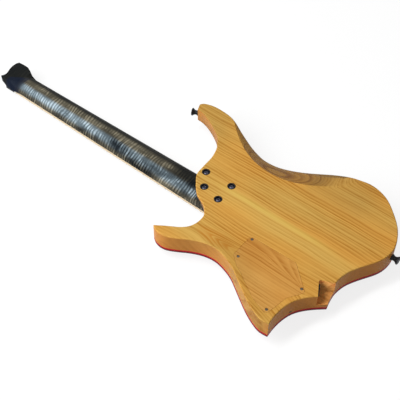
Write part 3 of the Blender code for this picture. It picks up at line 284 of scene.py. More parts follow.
def add_floor():
    """A pale floor that glows a little where it is seen, so that it ends as plain white."""
    bpy.ops.mesh.primitive_plane_add(size=FLOOR_SIZE, location=(0.0, 0.0, FLOOR_LEVEL))
    floor = bpy.context.object
    floor.name = "floor"
    paint = bpy.data.materials.new("floor_paint")
    paint.use_nodes = True
    nodes, links = paint.node_tree.nodes, paint.node_tree.links
    matt = nodes["Principled BSDF"]
    matt.inputs["Base Color"].default_value = (FLOOR_GREY, FLOOR_GREY, FLOOR_GREY, 1.0)
    matt.inputs["Roughness"].default_value = FLOOR_ROUGHNESS
    glow = nodes.new("ShaderNodeEmission")
    glow.inputs["Color"].default_value = (1.0, 1.0, 1.0, 1.0)
    glow.inputs["Strength"].default_value = FLOOR_GLOW
    blend = nodes.new("ShaderNodeMixShader")
    share = nodes.new("ShaderNodeMath")
    share.operation = "MULTIPLY"
    share.inputs[1].default_value = FLOOR_GLOW_SHARE
    links.new(seen_directly(paint.node_tree), share.inputs[0])
    links.new(share.outputs[0], blend.inputs[0])
    links.new(matt.outputs[0], blend.inputs[1])
    links.new(glow.outputs[0], blend.inputs[2])
    links.new(blend.outputs[0], nodes["Material Output"].inputs["Surface"])
    floor.data.materials.append(paint)


# Materials


class Field:
    """A number that a material works out at each point of a surface."""

    def __init__(self, surface, socket):
        self.surface = surface
        self.socket = socket

    def __add__(self, other):
        return self.surface.math("ADD", self, other)

    def __sub__(self, other):
        return self.surface.math("SUBTRACT", self, other)

    def __rsub__(self, other):
        return self.surface.math("SUBTRACT", other, self)

    def __mul__(self, other):
        return self.surface.math("MULTIPLY", self, other)

    def __truediv__(self, other):
        return self.surface.math("DIVIDE", self, other)

    def __abs__(self):
        return self.surface.math("ABSOLUTE", self)

    def root(self):
        return self.surface.math("SQRT", self)

    def logarithm(self):
        return self.surface.math("LOGARITHM", self, math.e)

    def floor(self):
        return self.surface.math("FLOOR", self)

    def fraction(self):
        return self.surface.math("FRACT", self)

    def power(self, exponent):
        return self.surface.math("POWER", self, exponent)

    def at_least(self, other):
        return self.surface.math("MAXIMUM", self, other)

    def at_most(self, other):
        return self.surface.math("MINIMUM", self, other)

    def rise(self, low, high):
        """A smooth step from 0 at one value to 1 at the other."""
        made = self.surface.node("MapRange", interpolation_type="SMOOTHSTEP")
        made.inputs["From Min"].default_value = low
        made.inputs["From Max"].default_value = high
        self.surface.link(self.socket, made.inputs["Value"])
        return Field(self.surface, made.outputs["Result"])


class Surface:
    """A material with a Principled shader, built node by node."""

    def __init__(self, name, roughness=0.5, metallic=0.0, specular=0.5):
        self.material = bpy.data.materials.new(name)
        self.material.use_nodes = True
        self.tree = self.material.node_tree
        self.shader = self.tree.nodes["Principled BSDF"]
        self.shader.inputs["Roughness"].default_value = roughness
        self.shader.inputs["Metallic"].default_value = metallic
        self.shader.inputs["Specular IOR Level"].default_value = specular

    def node(self, kind, **values):
        made = self.tree.nodes.new("ShaderNode" + kind)
        for key, value in values.items():
            setattr(made, key, value)
        return made

    def link(self, source, target):
        self.tree.links.new(source, target)

    def feed(self, socket, value):
        """Links a field or a socket, or sets a plain number or colour."""
        if isinstance(value, Field):
            value = value.socket
        if isinstance(value, bpy.types.NodeSocket):
            self.link(value, socket)
        elif isinstance(value, tuple):
            socket.default_value = (*value, 1.0)
        else:
            socket.default_value = value

    def math(self, operation, *terms):
        made = self.node("Math", operation=operation)
        for socket, term in zip(made.inputs, terms):
            self.feed(socket, term)
        return Field(self, made.outputs[0])

    def position(self):
        """The point's place in the guitar's frame, as three fields."""
        coordinates = self.node("TexCoord")
        parts = self.node("SeparateXYZ")
        self.link(coordinates.outputs["Object"], parts.inputs[0])
        return [Field(self, parts.outputs[axis]) for axis in "XYZ"]

    def facing_up(self):
        """How far the surface faces up: 1 for a level back, 0 for a wall, -1 for a level front."""
        geometry = self.node("NewGeometry")
        parts = self.node("SeparateXYZ")
        self.link(geometry.outputs["Normal"], parts.inputs[0])
        return Field(self, parts.outputs[2])

    def noise(self, scale, detail=2.0, shift=0.0):
        """Soft noise between 0 and 1, with its own scale along each axis, in cells per metre."""
        coordinates = self.node("TexCoord")
        mapping = self.node("Mapping")
        mapping.inputs["Scale"].default_value = scale
        mapping.inputs["Location"].default_value = (shift, shift, shift)
        self.link(coordinates.outputs["Object"], mapping.inputs["Vector"])
        made = self.node("TexNoise")
        made.inputs["Scale"].default_value = 1.0
        made.inputs["Detail"].default_value = detail
        self.link(mapping.outputs["Vector"], made.inputs["Vector"])
        return Field(self, made.outputs["Fac"])

    def noise_along(self, field, detail=1.0):
        """Soft noise between 0 and 1 that depends on one field alone."""
        made = self.node("TexNoise", noise_dimensions="1D")
        made.inputs["Scale"].default_value = 1.0
        made.inputs["Detail"].default_value = detail
        self.link(field.socket, made.inputs["W"])
        return Field(self, made.outputs["Fac"])

    def chance(self, field):
        """A number between 0 and 1 that belongs to each value of a field."""
        made = self.node("TexWhiteNoise", noise_dimensions="1D")
        self.link(field.socket, made.inputs["W"])
        return Field(self, made.outputs["Value"])

    def ramp(self, factor, *stops):
        made = self.node("ValToRGB")
        elements = made.color_ramp.elements
        while len(elements) < len(stops):
            elements.new(0.5)
        for element, (position, colour) in zip(elements, stops):
            element.position = position
            element.color = (*colour, 1.0)
        self.feed(made.inputs["Fac"], factor)
        return made.outputs["Color"]

    def mix(self, factor, first, second, blend="MIX"):
        made = self.node("Mix", data_type="RGBA", blend_type=blend)
        self.feed(made.inputs[0], factor)
        self.feed(made.inputs[6], first)
        self.feed(made.inputs[7], second)
        return made.outputs[2]

    def tinted(self, factor, colour, tint):
        return self.mix(factor, colour, tint, "MULTIPLY")

    def bump(self, height, distance):
        made = self.node("Bump")
        made.inputs["Strength"].default_value = 1.0
        made.inputs["Distance"].default_value = distance
        self.feed(made.inputs["Height"], height)
        self.link(made.outputs["Normal"], self.shader.inputs["Normal"])

    def colour(self, value):
        self.feed(self.shader.inputs["Base Color"], value)

    def roughness(self, value):
        self.feed(self.shader.inputs["Roughness"], value)


def bass_board(x, y, depth):
    """Rings that run along the neck and turn under the carve, where they close as ovals."""
    pull = x.rise(*CARVE_TURN) * (45.0 * MM) + 50.0 * MM
    return y - depth / (depth + 14.0 * MM) * pull


def treble_board(x, y, depth):
    """Rings that part around a swirl under the control cover."""
    across = y - SWIRL_Y
    along = x - SWIRL_X
    radius = (across * across + depth * depth * 0.64 + (3.0 * MM) ** 2).root()
    swell = (along * along + (20.0 * MM) ** 2).root() * 0.24 + along * 0.06
    return radius - swell * across.rise(25.0 * MM, -8.0 * MM)


def fan_board(x, y, depth):
    """Rings of the control cover: the upper ones fan out from its corner, the others run straight."""
    across = y - FAN_Y
    ratio = across / (FAN_X - x).at_least(4.0 * MM)
    fan = (ratio.at_least(0.05) / 0.207).logarithm() * (9.0 * MM) + 23.3 * MM
    return across + (fan - across) * ratio.rise(0.12, 0.26) + depth * 0.5


def back_painted_light_and_shade(x, y):
    """Painted light along the middle of the back and painted shade towards its edges: where each one is,
    and what it multiplies the wood by.
    """
    middle_band = abs(y + 8.0 * MM).rise(26.0 * MM, 4.0 * MM) * x.rise(90.0 * MM, 130.0 * MM)
    treble_edge = y.rise(-58.0 * MM, -84.0 * MM) * x.rise(150.0 * MM, 185.0 * MM)
    treble_edge = treble_edge * x.rise(330.0 * MM, 280.0 * MM)
    bass_horn = x.rise(70.0 * MM, 10.0 * MM) * y.rise(40.0 * MM, 80.0 * MM)
    bass_tail = y.rise(70.0 * MM, 95.0 * MM) * x.rise(200.0 * MM, 225.0 * MM)
    bass_tail = bass_tail * x.rise(350.0 * MM, 300.0 * MM)
    return [
        (middle_band, (1.02, 1.13, 1.26)), (treble_edge, (0.88, 0.84, 0.76)),
        (bass_horn, (0.85, 0.91, 1.00)), (bass_tail, (0.87, 0.91, 0.98)),
    ]


def cover_painted_shade(x, y):
    """Painted shade darkens the cover towards the neck."""
    return [(x.rise(268.0 * MM, 228.0 * MM), (0.90, 0.87, 0.80))]


def ash_wood(name, boards, painted_light_and_shade, tint, contrast=1.0):
    """Plain-sawn ash: rings with a dark porous edge, pores along the grain and a soft cloud, under painted
    light and shade.
    """
    # The body is glued up from two boards, and the cover is one
    is_body = len(boards) == 2
    surface = Surface(name, roughness=0.45, specular=0.10)
    x, y, z = surface.position()
    depth = (BACK - z).at_least(0.0)
    level = surface.facing_up()
    wall = level.rise(0.50, 0.10)
    lower_edge = x.rise(*LOWER_EDGE_START) * x.rise(*LOWER_EDGE_END) * wall
    side = wall * (1.0 - lower_edge)

    # Which ring a point lies in, and how far through that ring
    place = boards[0](x, y, depth)
    if is_body:
        bass_side = y.rise(SEAM_Y - SEAM_BLEND, SEAM_Y + SEAM_BLEND)
        place = place * bass_side + boards[1](x, y, depth) * (1.0 - bass_side)
    warp = surface.noise((9.0, 26.0, 26.0), detail=1.0) * (9.0 * MM)
    warp = warp + surface.noise((22.0, 70.0, 70.0)) * (2.0 * MM)
    place = place + warp * (1.0 - depth.rise(0.2 * MM, 4.0 * MM) * 0.65)
    count = place / RING + surface.noise_along(place / (17.0 * MM)) * 1.6
    turn = count.fraction()
    edge = turn.rise(0.0, 0.28) * (1.0 - turn).power(1.1)
    strength = surface.chance(count.floor()) * 0.75 + 0.35

    # How dark the ring is, which changes in patches and streaks, with pores and fibre
    patch = surface.noise((5.0, 24.0, 24.0), shift=3.0).rise(0.30, 0.62) * 0.65 + 0.35
    streak = surface.noise((11.0, 230.0, 230.0), shift=1.0).rise(0.30, 0.62) * 0.6 + 0.4
    flat = (level.rise(0.15, 0.80) * 0.60 + 0.40).at_least(lower_edge * 0.9)
    broad = surface.noise_along(place / (13.0 * MM) + 7.0, detail=2.0).rise(0.38, 0.66)
    pores = surface.noise((90.0, 1500.0, 1500.0), detail=1.0).rise(0.52, 0.70)
    fibre = surface.noise((16.0, 500.0, 500.0), detail=3.0)
    dark = edge * strength * patch * streak * (1.60 * contrast) + broad * (0.22 * contrast)
    dark = dark * flat + pores * edge * flat * 0.35 + (fibre - 0.5) * 0.40
    if is_body:
        calm = y.rise(*CALM_LOW) * y.rise(*CALM_HIGH) * x.rise(*CALM_START)
        dark = dark * (1.0 - calm * 0.45)
    grown = surface.mix(dark.at_least(0.0).at_most(1.0), ASH_LIGHT, ASH_DARK)
    if is_body:
        # The cut rings of the carve, in colours painted darker as shade, which fade out towards the tail
        carve_cut_and_shaded = y.rise(*CARVE_SIDE) * level.rise(0.4, 0.6) * depth.rise(0.05 * MM, 0.8 * MM)
        carve_cut_and_shaded = carve_cut_and_shaded * (x.rise(*CARVE_FADE) * 0.85 + 0.15)
        bare_and_shaded = surface.mix(edge * strength * 1.2, CARVE_SHADED_LIGHT, CARVE_SHADED_DARK)
        grown = surface.mix(carve_cut_and_shaded, grown, bare_and_shaded)

    # Slow changes of colour
    cloud = surface.noise((6.0, 15.0, 11.0), shift=9.0, detail=1.0)
    toned = surface.ramp(cloud, (0.30, (0.97, 1.03, 1.02)), (0.70, (1.05, 0.92, 0.72)))
    colour = surface.tinted(1.0, grown, toned)
    if is_body:
        seam = abs(y - SEAM_Y).rise(*SEAM_WIDTH) * x.rise(*SEAM_START) * x.rise(*SEAM_END)
        colour = surface.mix(seam * 0.5, colour, ASH_PALE)
        along = (x - KNOT_X) / KNOT_SIZE[0]
        across = (y - SWIRL_Y) / KNOT_SIZE[1]
        knot = (across * across + along * along).rise(1.0, 0.1)
        colour = surface.mix(knot * edge * 0.9, colour, ASH_ORANGE)
        colour = surface.mix(knot * 0.25, colour, ASH_ORANGE)
    colour = surface.tinted(1.0, colour, tint)
    # Painted light and shade over the level faces
    for share, cast in painted_light_and_shade(x, y):
        colour = surface.tinted(share * level.rise(0.3, 0.8), colour, cast)
    # Painted shade on the stretch of wall beside the control cover
    colour = surface.tinted(lower_edge, colour, LOWER_EDGE_PAINTED_SHADE)
    # Painted shade on the walls, which also warms them
    colour = surface.tinted(side, colour, WALL_PAINTED_SHADE)

    # Painted light inside the scoop, the spot on the tail wall and the red rim
    if is_body:
        past_left = ((x - SCOOP_X) * 0.86 + (y - SCOOP_Y) * 0.51).rise(-0.3 * MM, 0.0)
        past_upper = ((x - SCOOP_X) * 0.44 - (y - SCOOP_Y) * 0.90).rise(-3.1 * MM, -2.8 * MM)
        above_floor = depth.rise(*SCOOP_EDGE) * depth.rise(*SCOOP_FLOOR)
        colour = surface.tinted(past_left * past_upper * above_floor, colour, SCOOP_PAINTED_LIGHT)
        across = (y - SPOT_Y) / SPOT_SIZE[0]
        upwards = (z - SPOT_Z) / SPOT_SIZE[1]
        spot = (across * across + upwards * upwards).rise(1.2, 0.3) * x.rise(*SPOT_START) * side
        colour = surface.mix(spot * 0.8, colour, SPOT_COLOUR)
        rim = z.rise(BODY_LOW.z + RIM_HEIGHT, BODY_LOW.z + RIM_HEIGHT - RIM_BLEND)
        colour = surface.mix(rim, colour, STAIN_RED)
    surface.colour(colour)
    surface.roughness(pores * 0.25 + 0.42)
    surface.bump(pores * -0.6 - edge * 0.5, 0.06 * MM)
    return surface.material


def curly_neck():
    """Charcoal-stained curly wood: short flames cross the neck; a paler, bluish gloss band is painted
    towards its treble side, and painted shade darkens its bass side and heel.
    """
    surface = Surface("curly_neck", roughness=0.3, specular=0.06)
    surface.shader.inputs["Specular Tint"].default_value = (0.75, 0.91, 1.0, 1.0)
    x, y = surface.position()[:2]
    bend = surface.noise((9.0, 16.0, 16.0), detail=1.0) * (22.0 * MM)
    count = (x + y * 0.10 + bend) / FLAME_PITCH + surface.noise((60.0, 34.0, 34.0)) * 1.5
    wave = abs(count.fraction() - 0.5) * 2.0
    power = surface.chance((count + 0.5).floor()) * 0.65 + 0.35
    patch = surface.noise((34.0, 80.0, 80.0), shift=5.0, detail=3.0).rise(0.34, 0.62)
    smoke = surface.noise((9.0, 22.0, 22.0), shift=2.0).rise(0.30, 0.66)
    fibre = surface.noise((460.0, 50.0, 50.0), detail=3.0)
    flame = wave.rise(0.05, 0.95) * power
    neck_only = x.rise(NUT_X - 6.0 * MM, NUT_X + 12.0 * MM)

    # How far across the neck a point lies: 1 at its bass edge and -1 at its treble edge
    share = (y - MIDDLE_Y) / ((x - NUT_X) * NECK_FLARE + NUT_HALF_WIDTH)
    # Painted shade on the bass side and at the heel, and a painted gloss band on the treble side
    bass_shade = share.rise(0.20, 0.58)
    treble_gloss = share.rise(-0.08, -0.42) * share.rise(-0.97, -0.66)
    heel_shade = x.rise(-12.0 * MM, 24.0 * MM) * y.rise(MIDDLE_Y - 14.0 * MM, MIDDLE_Y + 2.0 * MM)
    tone_and_shade = neck_only * (1.0 - bass_shade * 0.92) * (1.0 - heel_shade * 0.9) * 0.95 + 0.05
    figure = (flame * patch * 0.75 + smoke * 0.50 + (fibre - 0.5) * 0.40) * tone_and_shade
    figure = figure.at_least(0.0).at_most(1.0)
    olive = surface.ramp(
        figure, (0.0, (0.002, 0.003, 0.004)), (0.42, (0.078, 0.070, 0.049)), (1.0, (0.270, 0.240, 0.170)))
    # Colours of the painted bluish gloss band
    painted_gloss = surface.ramp(
        figure, (0.0, (0.006, 0.009, 0.012)), (0.42, (0.130, 0.170, 0.195)), (1.0, (0.46, 0.57, 0.64)))
    colour = surface.mix(treble_gloss * neck_only, olive, painted_gloss)

    # The slanted facet behind the nut, painted bluish as a reflection
    facet_reflection = x.rise(NUT_X + 14.0 * MM, NUT_X + 4.0 * MM) * x.rise(NUT_X - 29.0 * MM, NUT_X - 22.0 * MM)
    slant = y - MIDDLE_Y + 9.7 * MM - (x - NUT_X + 26.0 * MM) * 0.66
    facet_reflection = facet_reflection * slant.rise(2.0 * MM, -2.0 * MM)
    surface.colour(surface.mix(facet_reflection * 0.7, colour, HEAD_REFLECTION_BLUE))
    surface.roughness(0.48 - figure * 0.26)
    surface.bump((flame * 0.7 + fibre * 0.3) * neck_only, 0.25 * MM)
    return surface.material


def stained_front():
    """Red stain over the front's wood; along the edge of the face it is painted nearly black as shade."""
    surface = Surface("red_front", roughness=0.3, specular=0.3)
    height = surface.position()[2] - FRONT_FACE
    grain = surface.noise((9.0, 190.0, 90.0), detail=3.0)
    rings = surface.noise((4.0, 60.0, 30.0), shift=2.0)
    red = surface.ramp(grain, (0.30, (0.17, 0.002, 0.005)), (0.68, (0.34, 0.005, 0.011)))
    deep = surface.ramp(rings, (0.35, (0.6, 0.55, 0.55)), (0.60, (1.0, 1.0, 1.0)))
    # Painted shade, nearly black, along the edge next to the face
    painted_edge_shade = height.rise(2.1 * MM, 1.1 * MM) * height.rise(0.01 * MM, 0.08 * MM)
    surface.colour(surface.mix(painted_edge_shade, surface.tinted(1.0, red, deep), FACE_EDGE_SHADE))
    surface.roughness(height.rise(0.05 * MM, 0.3 * MM) * 0.35 + 0.18 + grain * 0.1)
    surface.bump(grain, 0.03 * MM)
    return surface.material


def pale_board():
    """Pale, close-grained wood with fine dark fibres and lighter sides."""
    surface = Surface("pale_board", roughness=0.5, specular=0.35)
    grain = surface.noise((10.0, 420.0, 260.0), detail=3.0)
    rings = surface.noise((3.0, 70.0, 60.0), shift=4.0)
    pale = surface.ramp(grain, (0.30, (0.49, 0.365, 0.215)), (0.68, (0.72, 0.57, 0.375)))
    cast = surface.ramp(rings, (0.35, (0.86, 0.82, 0.76)), (0.62, (1.0, 1.0, 1.0)))
    side = abs(surface.facing_up()).rise(0.6, 0.2)
    surface.colour(surface.mix(side * 0.6, surface.tinted(1.0, pale, cast), (0.90, 0.74, 0.52)))
    surface.bump(grain, 0.04 * MM)
    return surface.material


def plain(name, dark, light, roughness, metallic, specular, grain):
    """A metal or plastic with a faint mottle in colour and roughness, and fine tool marks."""
    surface = Surface(name, roughness=roughness, metallic=metallic, specular=specular)
    mottle = surface.noise(grain, detail=3.0)
    wear = surface.noise((90.0, 90.0, 90.0), shift=6.0)
    surface.colour(surface.ramp(mottle * 0.6 + wear * 0.4, (0.35, dark), (0.65, light)))
    surface.roughness(mottle * 0.14 + (roughness - 0.07))
    surface.bump(mottle, 0.02 * MM)
    return surface.material


def wound_wire():
    """The winding of a bass string, as fine rings along its length."""
    surface = Surface("wound_wire", roughness=0.32, metallic=1.0)
    ring = abs((surface.position()[0] / WINDING_PITCH).fraction() - 0.5) * 2.0
    # The grooves between the windings are painted darker as shade, and the crests lighter
    shade = ring * 0.7 + surface.noise((300.0, 300.0, 300.0)) * 0.3
    surface.colour(surface.ramp(shade, (0.2, (0.55, 0.53, 0.50)), (0.8, (0.22, 0.21, 0.20))))
    surface.bump(1.0 - ring * ring, 0.10 * MM)
    return surface.material


def set_material(mesh, finish):
    mesh.materials.clear()
    mesh.materials.append(finish)


def add_materials():
    """Each slot of the record gets its finish, on every CAD node."""
    made = {name: plain(name, *look) for name, look in PLAIN_FINISHES.items()}
    made["ash"] = ash_wood("ash", [bass_board, treble_board], back_painted_light_and_shade, (1.0, 1.0, 1.0))
    made["cover_wood"] = ash_wood("cover_ash", [fan_board], cover_painted_shade, (0.94, 0.885, 1.0), 0.8)
    made["red_top"] = stained_front()
    made["neck_wood"] = curly_neck()
    made["board_wood"] = pale_board()
    made["wound_wire"] = wound_wire()
    for node, slot in SLOTS.items():
        set_material(frame["nodes"][node].data, made[slot])
    for number in WOUND_STRINGS:
        set_material(frame["nodes"]["string_%d" % number].data, made["wound_wire"])
    return made


# Shapes


def finished(shape, name):
    bmesh.ops.recalc_face_normals(shape, faces=shape.faces)
    mesh = bpy.data.meshes.new(name)
    shape.to_mesh(mesh)
    shape.free()
    return mesh


def welded(node, flat_angle=0.4):
    """A CAD node's shape with its split corners joined and its flat faces whole."""
    shape = bmesh.new()
    shape.from_mesh(frame["nodes"][node].data)
    bmesh.ops.remove_doubles(shape, verts=shape.verts, dist=0.002 * MM)
    angle = math.radians(flat_angle)
    bmesh.ops.dissolve_limit(shape, angle_limit=angle, verts=shape.verts, edges=shape.edges)
    return shape


def join_rings(shape, rings):
    """Walls between rings of corners that follow each other, and a face over each end."""
    for low, high in zip(rings, rings[1:]):
        for i in range(len(low)):
            j = (i + 1) % len(low)
            shape.faces.new((low[i], low[j], high[j], high[i]))
    shape.faces.new(list(reversed(rings[0])))
    shape.faces.new(rings[-1])


def turned(profile, sides, ridges=0, ridge_depth=0.0, ridged=(0.0, 0.0)):
    """A shape turned about Z; between two heights its radius carries fine ridges."""
    shape = bmesh.new()
    rings = []
    for radius, height in profile:
        if radius == 0.0:
            rings.append([shape.verts.new((0.0, 0.0, height))])
            continue
        ring = []
        for i in range(sides):
            angle = 2.0 * math.pi * i / sides
            reach = radius
            if ridges and ridged[0] <= height <= ridged[1]:
                reach -= ridge_depth * (0.5 - 0.5 * math.cos(ridges * angle))
            ring.append(shape.verts.new((reach * math.cos(angle), reach * math.sin(angle), height)))
        rings.append(ring)
    for low, high in zip(rings, rings[1:]):
        for i in range(sides):
            j = (i + 1) % sides
            corners = [low[i % len(low)], low[j % len(low)], high[j % len(high)], high[i % len(high)]]
            shape.faces.new(list(dict.fromkeys(corners)))
    return shape


def in_mm(profile):
    """A profile in metres, from one that is written in millimetres."""
    return [(radius * MM, height * MM) for radius, height in profile]


def set_along(shape, origin, axis):
    """Puts a shape that was turned about Z at a place, with its axis along a direction."""
    turn = Vector(axis).to_track_quat("Z", "X").to_matrix().to_4x4()
    bmesh.ops.transform(shape, matrix=Matrix.Translation(origin) @ turn, verts=shape.verts)


def cross_recess(size, depth, height, turn=0.0):
    """Cutters for the cross in a screw head: two tapered bars that cross at a height."""
    bars = []
    for angle in (turn, turn + math.pi / 2.0):
        shape = bmesh.new()
        rings = []
        for level, long, wide in ((-depth, 0.35, 0.12), (0.0, 1.0, 0.20), (depth, 1.0, 0.20)):
            corners = [(-long, -wide), (long, -wide), (long, wide), (-long, wide)]
            rings.append([shape.verts.new((x * size, y * size, level)) for x, y in corners])
        join_rings(shape, rings)
        place = Matrix.Translation((0.0, 0.0, height)) @ Matrix.Rotation(angle, 4, "Z")
        bmesh.ops.transform(shape, matrix=place, verts=shape.verts)
        bars.append(shape)
    return bars


def hex_recess(size, depth):
    """A cutter for the six-sided socket in a screw head."""
    shape = bmesh.new()
    corners = [(size * math.cos(math.pi * i / 3), size * math.sin(math.pi * i / 3)) for i in range(6)]
    join_rings(shape, [[shape.verts.new((x, y, level)) for x, y in corners] for level in (-depth, depth)])
    return shape


def carve_out(mesh, cutters):
    """The mesh with other shapes cut out of it."""
    stock = new_object("stock", mesh)
    helpers = []
    for cutter in cutters:
        helper = new_object("tool", finished(cutter, "tool"))
        step = stock.modifiers.new("cut", "BOOLEAN")
        step.operation = "DIFFERENCE"
        step.solver = "EXACT"
        step.object = helper
        helpers.append(helper)
    graph = bpy.context.evaluated_depsgraph_get()
    graph.update()
    result = bpy.data.meshes.new_from_object(stock.evaluated_get(graph))
    for old in helpers + [stock]:
        bpy.data.objects.remove(old, do_unlink=True)
    return result


def add_disc(shape, origin, axis, radius, proud):
    """A thin round inlay that stands a hair proud of its face."""
    root = -0.4 * MM
    profile = [(0.0, root), (radius, root), (radius, proud * 0.4), (radius * 0.93, proud), (0.0, proud)]
    disc = turned(profile, sides=32)
    set_along(disc, origin, axis)
    mesh = bpy.data.meshes.new("disc")
    disc.to_mesh(mesh)
    disc.free()
    shape.from_mesh(mesh)
    bpy.data.meshes.remove(mesh)


# Pieces


def body_of(node):
    return frame["nodes"][node]["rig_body"]


def middle(node):
    low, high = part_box(node)
    return (low + high) / 2


def add_piece(name, shape, body, slot, smooth=30.0, finish=None):
    """An object for a shape or a finished mesh, which rides on a body."""
    mesh = finished(shape, name) if isinstance(shape, bmesh.types.BMesh) else shape
    piece = new_object(name, mesh)
    set_material(mesh, finish or finishes[slot])
    mesh.shade_smooth()
    mesh.set_sharp_from_angle(angle=math.radians(smooth))
    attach(piece, body)
    return piece


def dress(node, shape, smooth, finish=None):
    """The finished piece that takes the place of a CAD node."""
    piece = add_piece(node + "_finished", shape, body_of(node), SLOTS[node], smooth, finish)
    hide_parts(node)
    return piece


def add_black_screw(name, shape, smooth):
    """Screws that no CAD node stands for, in the finish of the neck's bolts."""
    add_piece(name, shape, "guitar_body", "black_metal", smooth, finishes["bolt_head"])


def even_shading(piece):
    step = piece.modifiers.new("even_shading", "WEIGHTED_NORMAL")
    step.keep_sharp = True
    step.weight = 60


def round_edges(piece, width, angle, corner="MITER_SHARP"):
    bevel = piece.modifiers.new("edges", "BEVEL")
    bevel.width = width
    bevel.segments = 2
    bevel.limit_method = "ANGLE"
    bevel.angle_limit = math.radians(angle)
    bevel.miter_outer = corner


def refine(node, edge=0.0, smooth=35.0):
    """A finer copy of a CAD node: edges rounded and curves shaded smooth."""
    piece = dress(node, welded(node), smooth)
    if edge > 0.0:
        round_edges(piece, edge, smooth, "MITER_ARC")
    even_shading(piece)


# Wood


def add_body():
    """The body keeps the crease of its carve sharp where the carve is steep."""
    piece = dress("body", welded("body", flat_angle=0.3), smooth=38.0)
    shape = bmesh.new()
    shape.from_mesh(piece.data)
    for edge in shape.edges:
        if len(edge.link_faces) != 2:
            continue
        flat, slope = sorted(edge.link_faces, key=lambda face: -face.normal.z)
        steep = 0.75 < slope.normal.z < 0.985 and slope.normal.y > 0.15
        if steep and flat.normal.z > 0.9995 and slope.calc_area() > CARVE_FACE_AREA:
            edge.smooth = False
    shape.to_mesh(piece.data)
    shape.free()
    even_shading(piece)


def add_front():
    """The stained front, with its outer edge rounded towards the face."""
    shape = welded("body_top")
    rim = []
    for edge in shape.edges:
        on_face = all(abs(corner.co.z - FRONT_FACE) <= 0.01 * MM for corner in edge.verts)
        if len(edge.link_faces) != 2 or not on_face:
            continue
        normals = sorted(abs(face.normal.z) for face in edge.link_faces)
        if normals[0] < 0.5 < normals[1]:
            rim.append(edge)
    bmesh.ops.bevel(
        shape, geom=rim, offset=0.6 * MM, segments=3, profile=0.5, affect="EDGES", clamp_overlap=True)
    even_shading(dress("body_top", shape, smooth=38.0))


def fret_x(number):
    return NUT_X + SCALE_LENGTH * (1.0 - 2.0 ** (-number / 12.0))


def board_half(x):
    share = (x - BOARD_LOW.x) / (BOARD_HIGH.x - BOARD_LOW.x)
    return NUT_HALF_WIDTH + ((BOARD_HIGH.y - BOARD_LOW.y) / 2 - NUT_HALF_WIDTH) * share


def board_face(y):
    """The level of the curved face, at a distance from its middle line."""
    return BOARD_FACE + y * y / (2 * BOARD_RADIUS)


def add_fingerboard():
    """A radiused board with rolled edges."""
    shape = bmesh.new()
    rings = []
    for x in (BOARD_LOW.x, BOARD_LOW.x + BOARD_CHAMFER, BOARD_HIGH.x - BOARD_CHAMFER, BOARD_HIGH.x):
        inset = BOARD_CHAMFER if x in (BOARD_LOW.x, BOARD_HIGH.x) else 0.0
        half = board_half(x) - inset
        ring = [(half, BOARD_HIGH.z)]
        for i in range(17):
            y = half * (1.0 - i / 8.0)
            roll = BOARD_ROLL * max(0.0, abs(y) / half - 0.9) * 10.0
            ring.append((y, board_face(y) + roll + inset))
        ring.append((-half, BOARD_HIGH.z))
        rings.append([shape.verts.new((x, MIDDLE_Y + y, z)) for y, z in ring])
    join_rings(shape, rings)
    even_shading(dress("fingerboard", shape, smooth=30.0))


def add_frets():
    """Fret wires with bevelled ends."""
    shape = bmesh.new()
    for number in range(1, FRET_COUNT + 1):
        half = board_half(fret_x(number))
        rings = []
        for i in range(13):
            share = 1.0 - i / 6.0
            y = half * share
            if i in (1, 11):
                y = math.copysign(half - FRET_BEVEL, share)
            top = FRET_HEIGHT * (FRET_END_HEIGHT if i in (0, 12) else 1.0)
            ring = []
            for k in range(7):
                angle = math.pi * k / 6
                x = fret_x(number) - FRET_WIDTH / 2 * math.cos(angle)
                z = board_face(y) - top * math.sin(angle) + FRET_SINK
                ring.append(shape.verts.new((x, MIDDLE_Y + y, z)))
            rings.append(ring)
        join_rings(shape, rings)
    add_piece("fret_wires", shape, "guitar_body", "bright_steel", smooth=50.0)


def add_position_dots():
    shape = bmesh.new()
    for number in DOT_FRETS:
        x = (fret_x(number) + fret_x(number - 1)) / 2
        for offset in (-DOT_OFFSET, DOT_OFFSET) if number in DOUBLE_DOT_FRETS else (0.0,):
            spot = (x, MIDDLE_Y + offset, board_face(offset))
            add_disc(shape, spot, DOWN, DOT_RADIUS, proud=0.06 * MM)
        spot = (x, MIDDLE_Y + board_half(x), (BOARD_FACE + BOARD_HIGH.z) / 2 + 0.6 * MM)
        add_disc(shape, spot, TO_BASS, SIDE_DOT_RADIUS, proud=0.05 * MM)
    add_piece("position_dots", shape, "guitar_body", "black_plastic")


# Hardware on the back


def add_ferrule(number):
    """A black cup in the back, with a rounded rim."""
    node = "neck_ferrule_%d" % number
    low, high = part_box(node)
    tall = high.z - low.z
    bore = 2.5 * MM
    wall = 2.0 * MM
    outer = (high.x - low.x) / 2
    inner = outer - wall
    profile = [
        (bore, 0.0), (outer, 0.0), (outer, tall - 0.35 * MM), (outer - 0.12 * MM, tall - 0.1 * MM),
        (outer - 0.45 * MM, tall), (inner + 0.7 * MM, tall), (inner + 0.2 * MM, tall - 0.25 * MM),
        (inner, tall - 0.9 * MM), (inner, wall), (bore, wall), (bore, 0.0),
    ]
    cup = turned(profile, sides=48)
    bmesh.ops.remove_doubles(cup, verts=cup.verts, dist=0.001 * MM)
    centre = middle(node)
    set_along(cup, (centre.x, centre.y, low.z), UP)
    dress(node, cup, smooth=40.0)


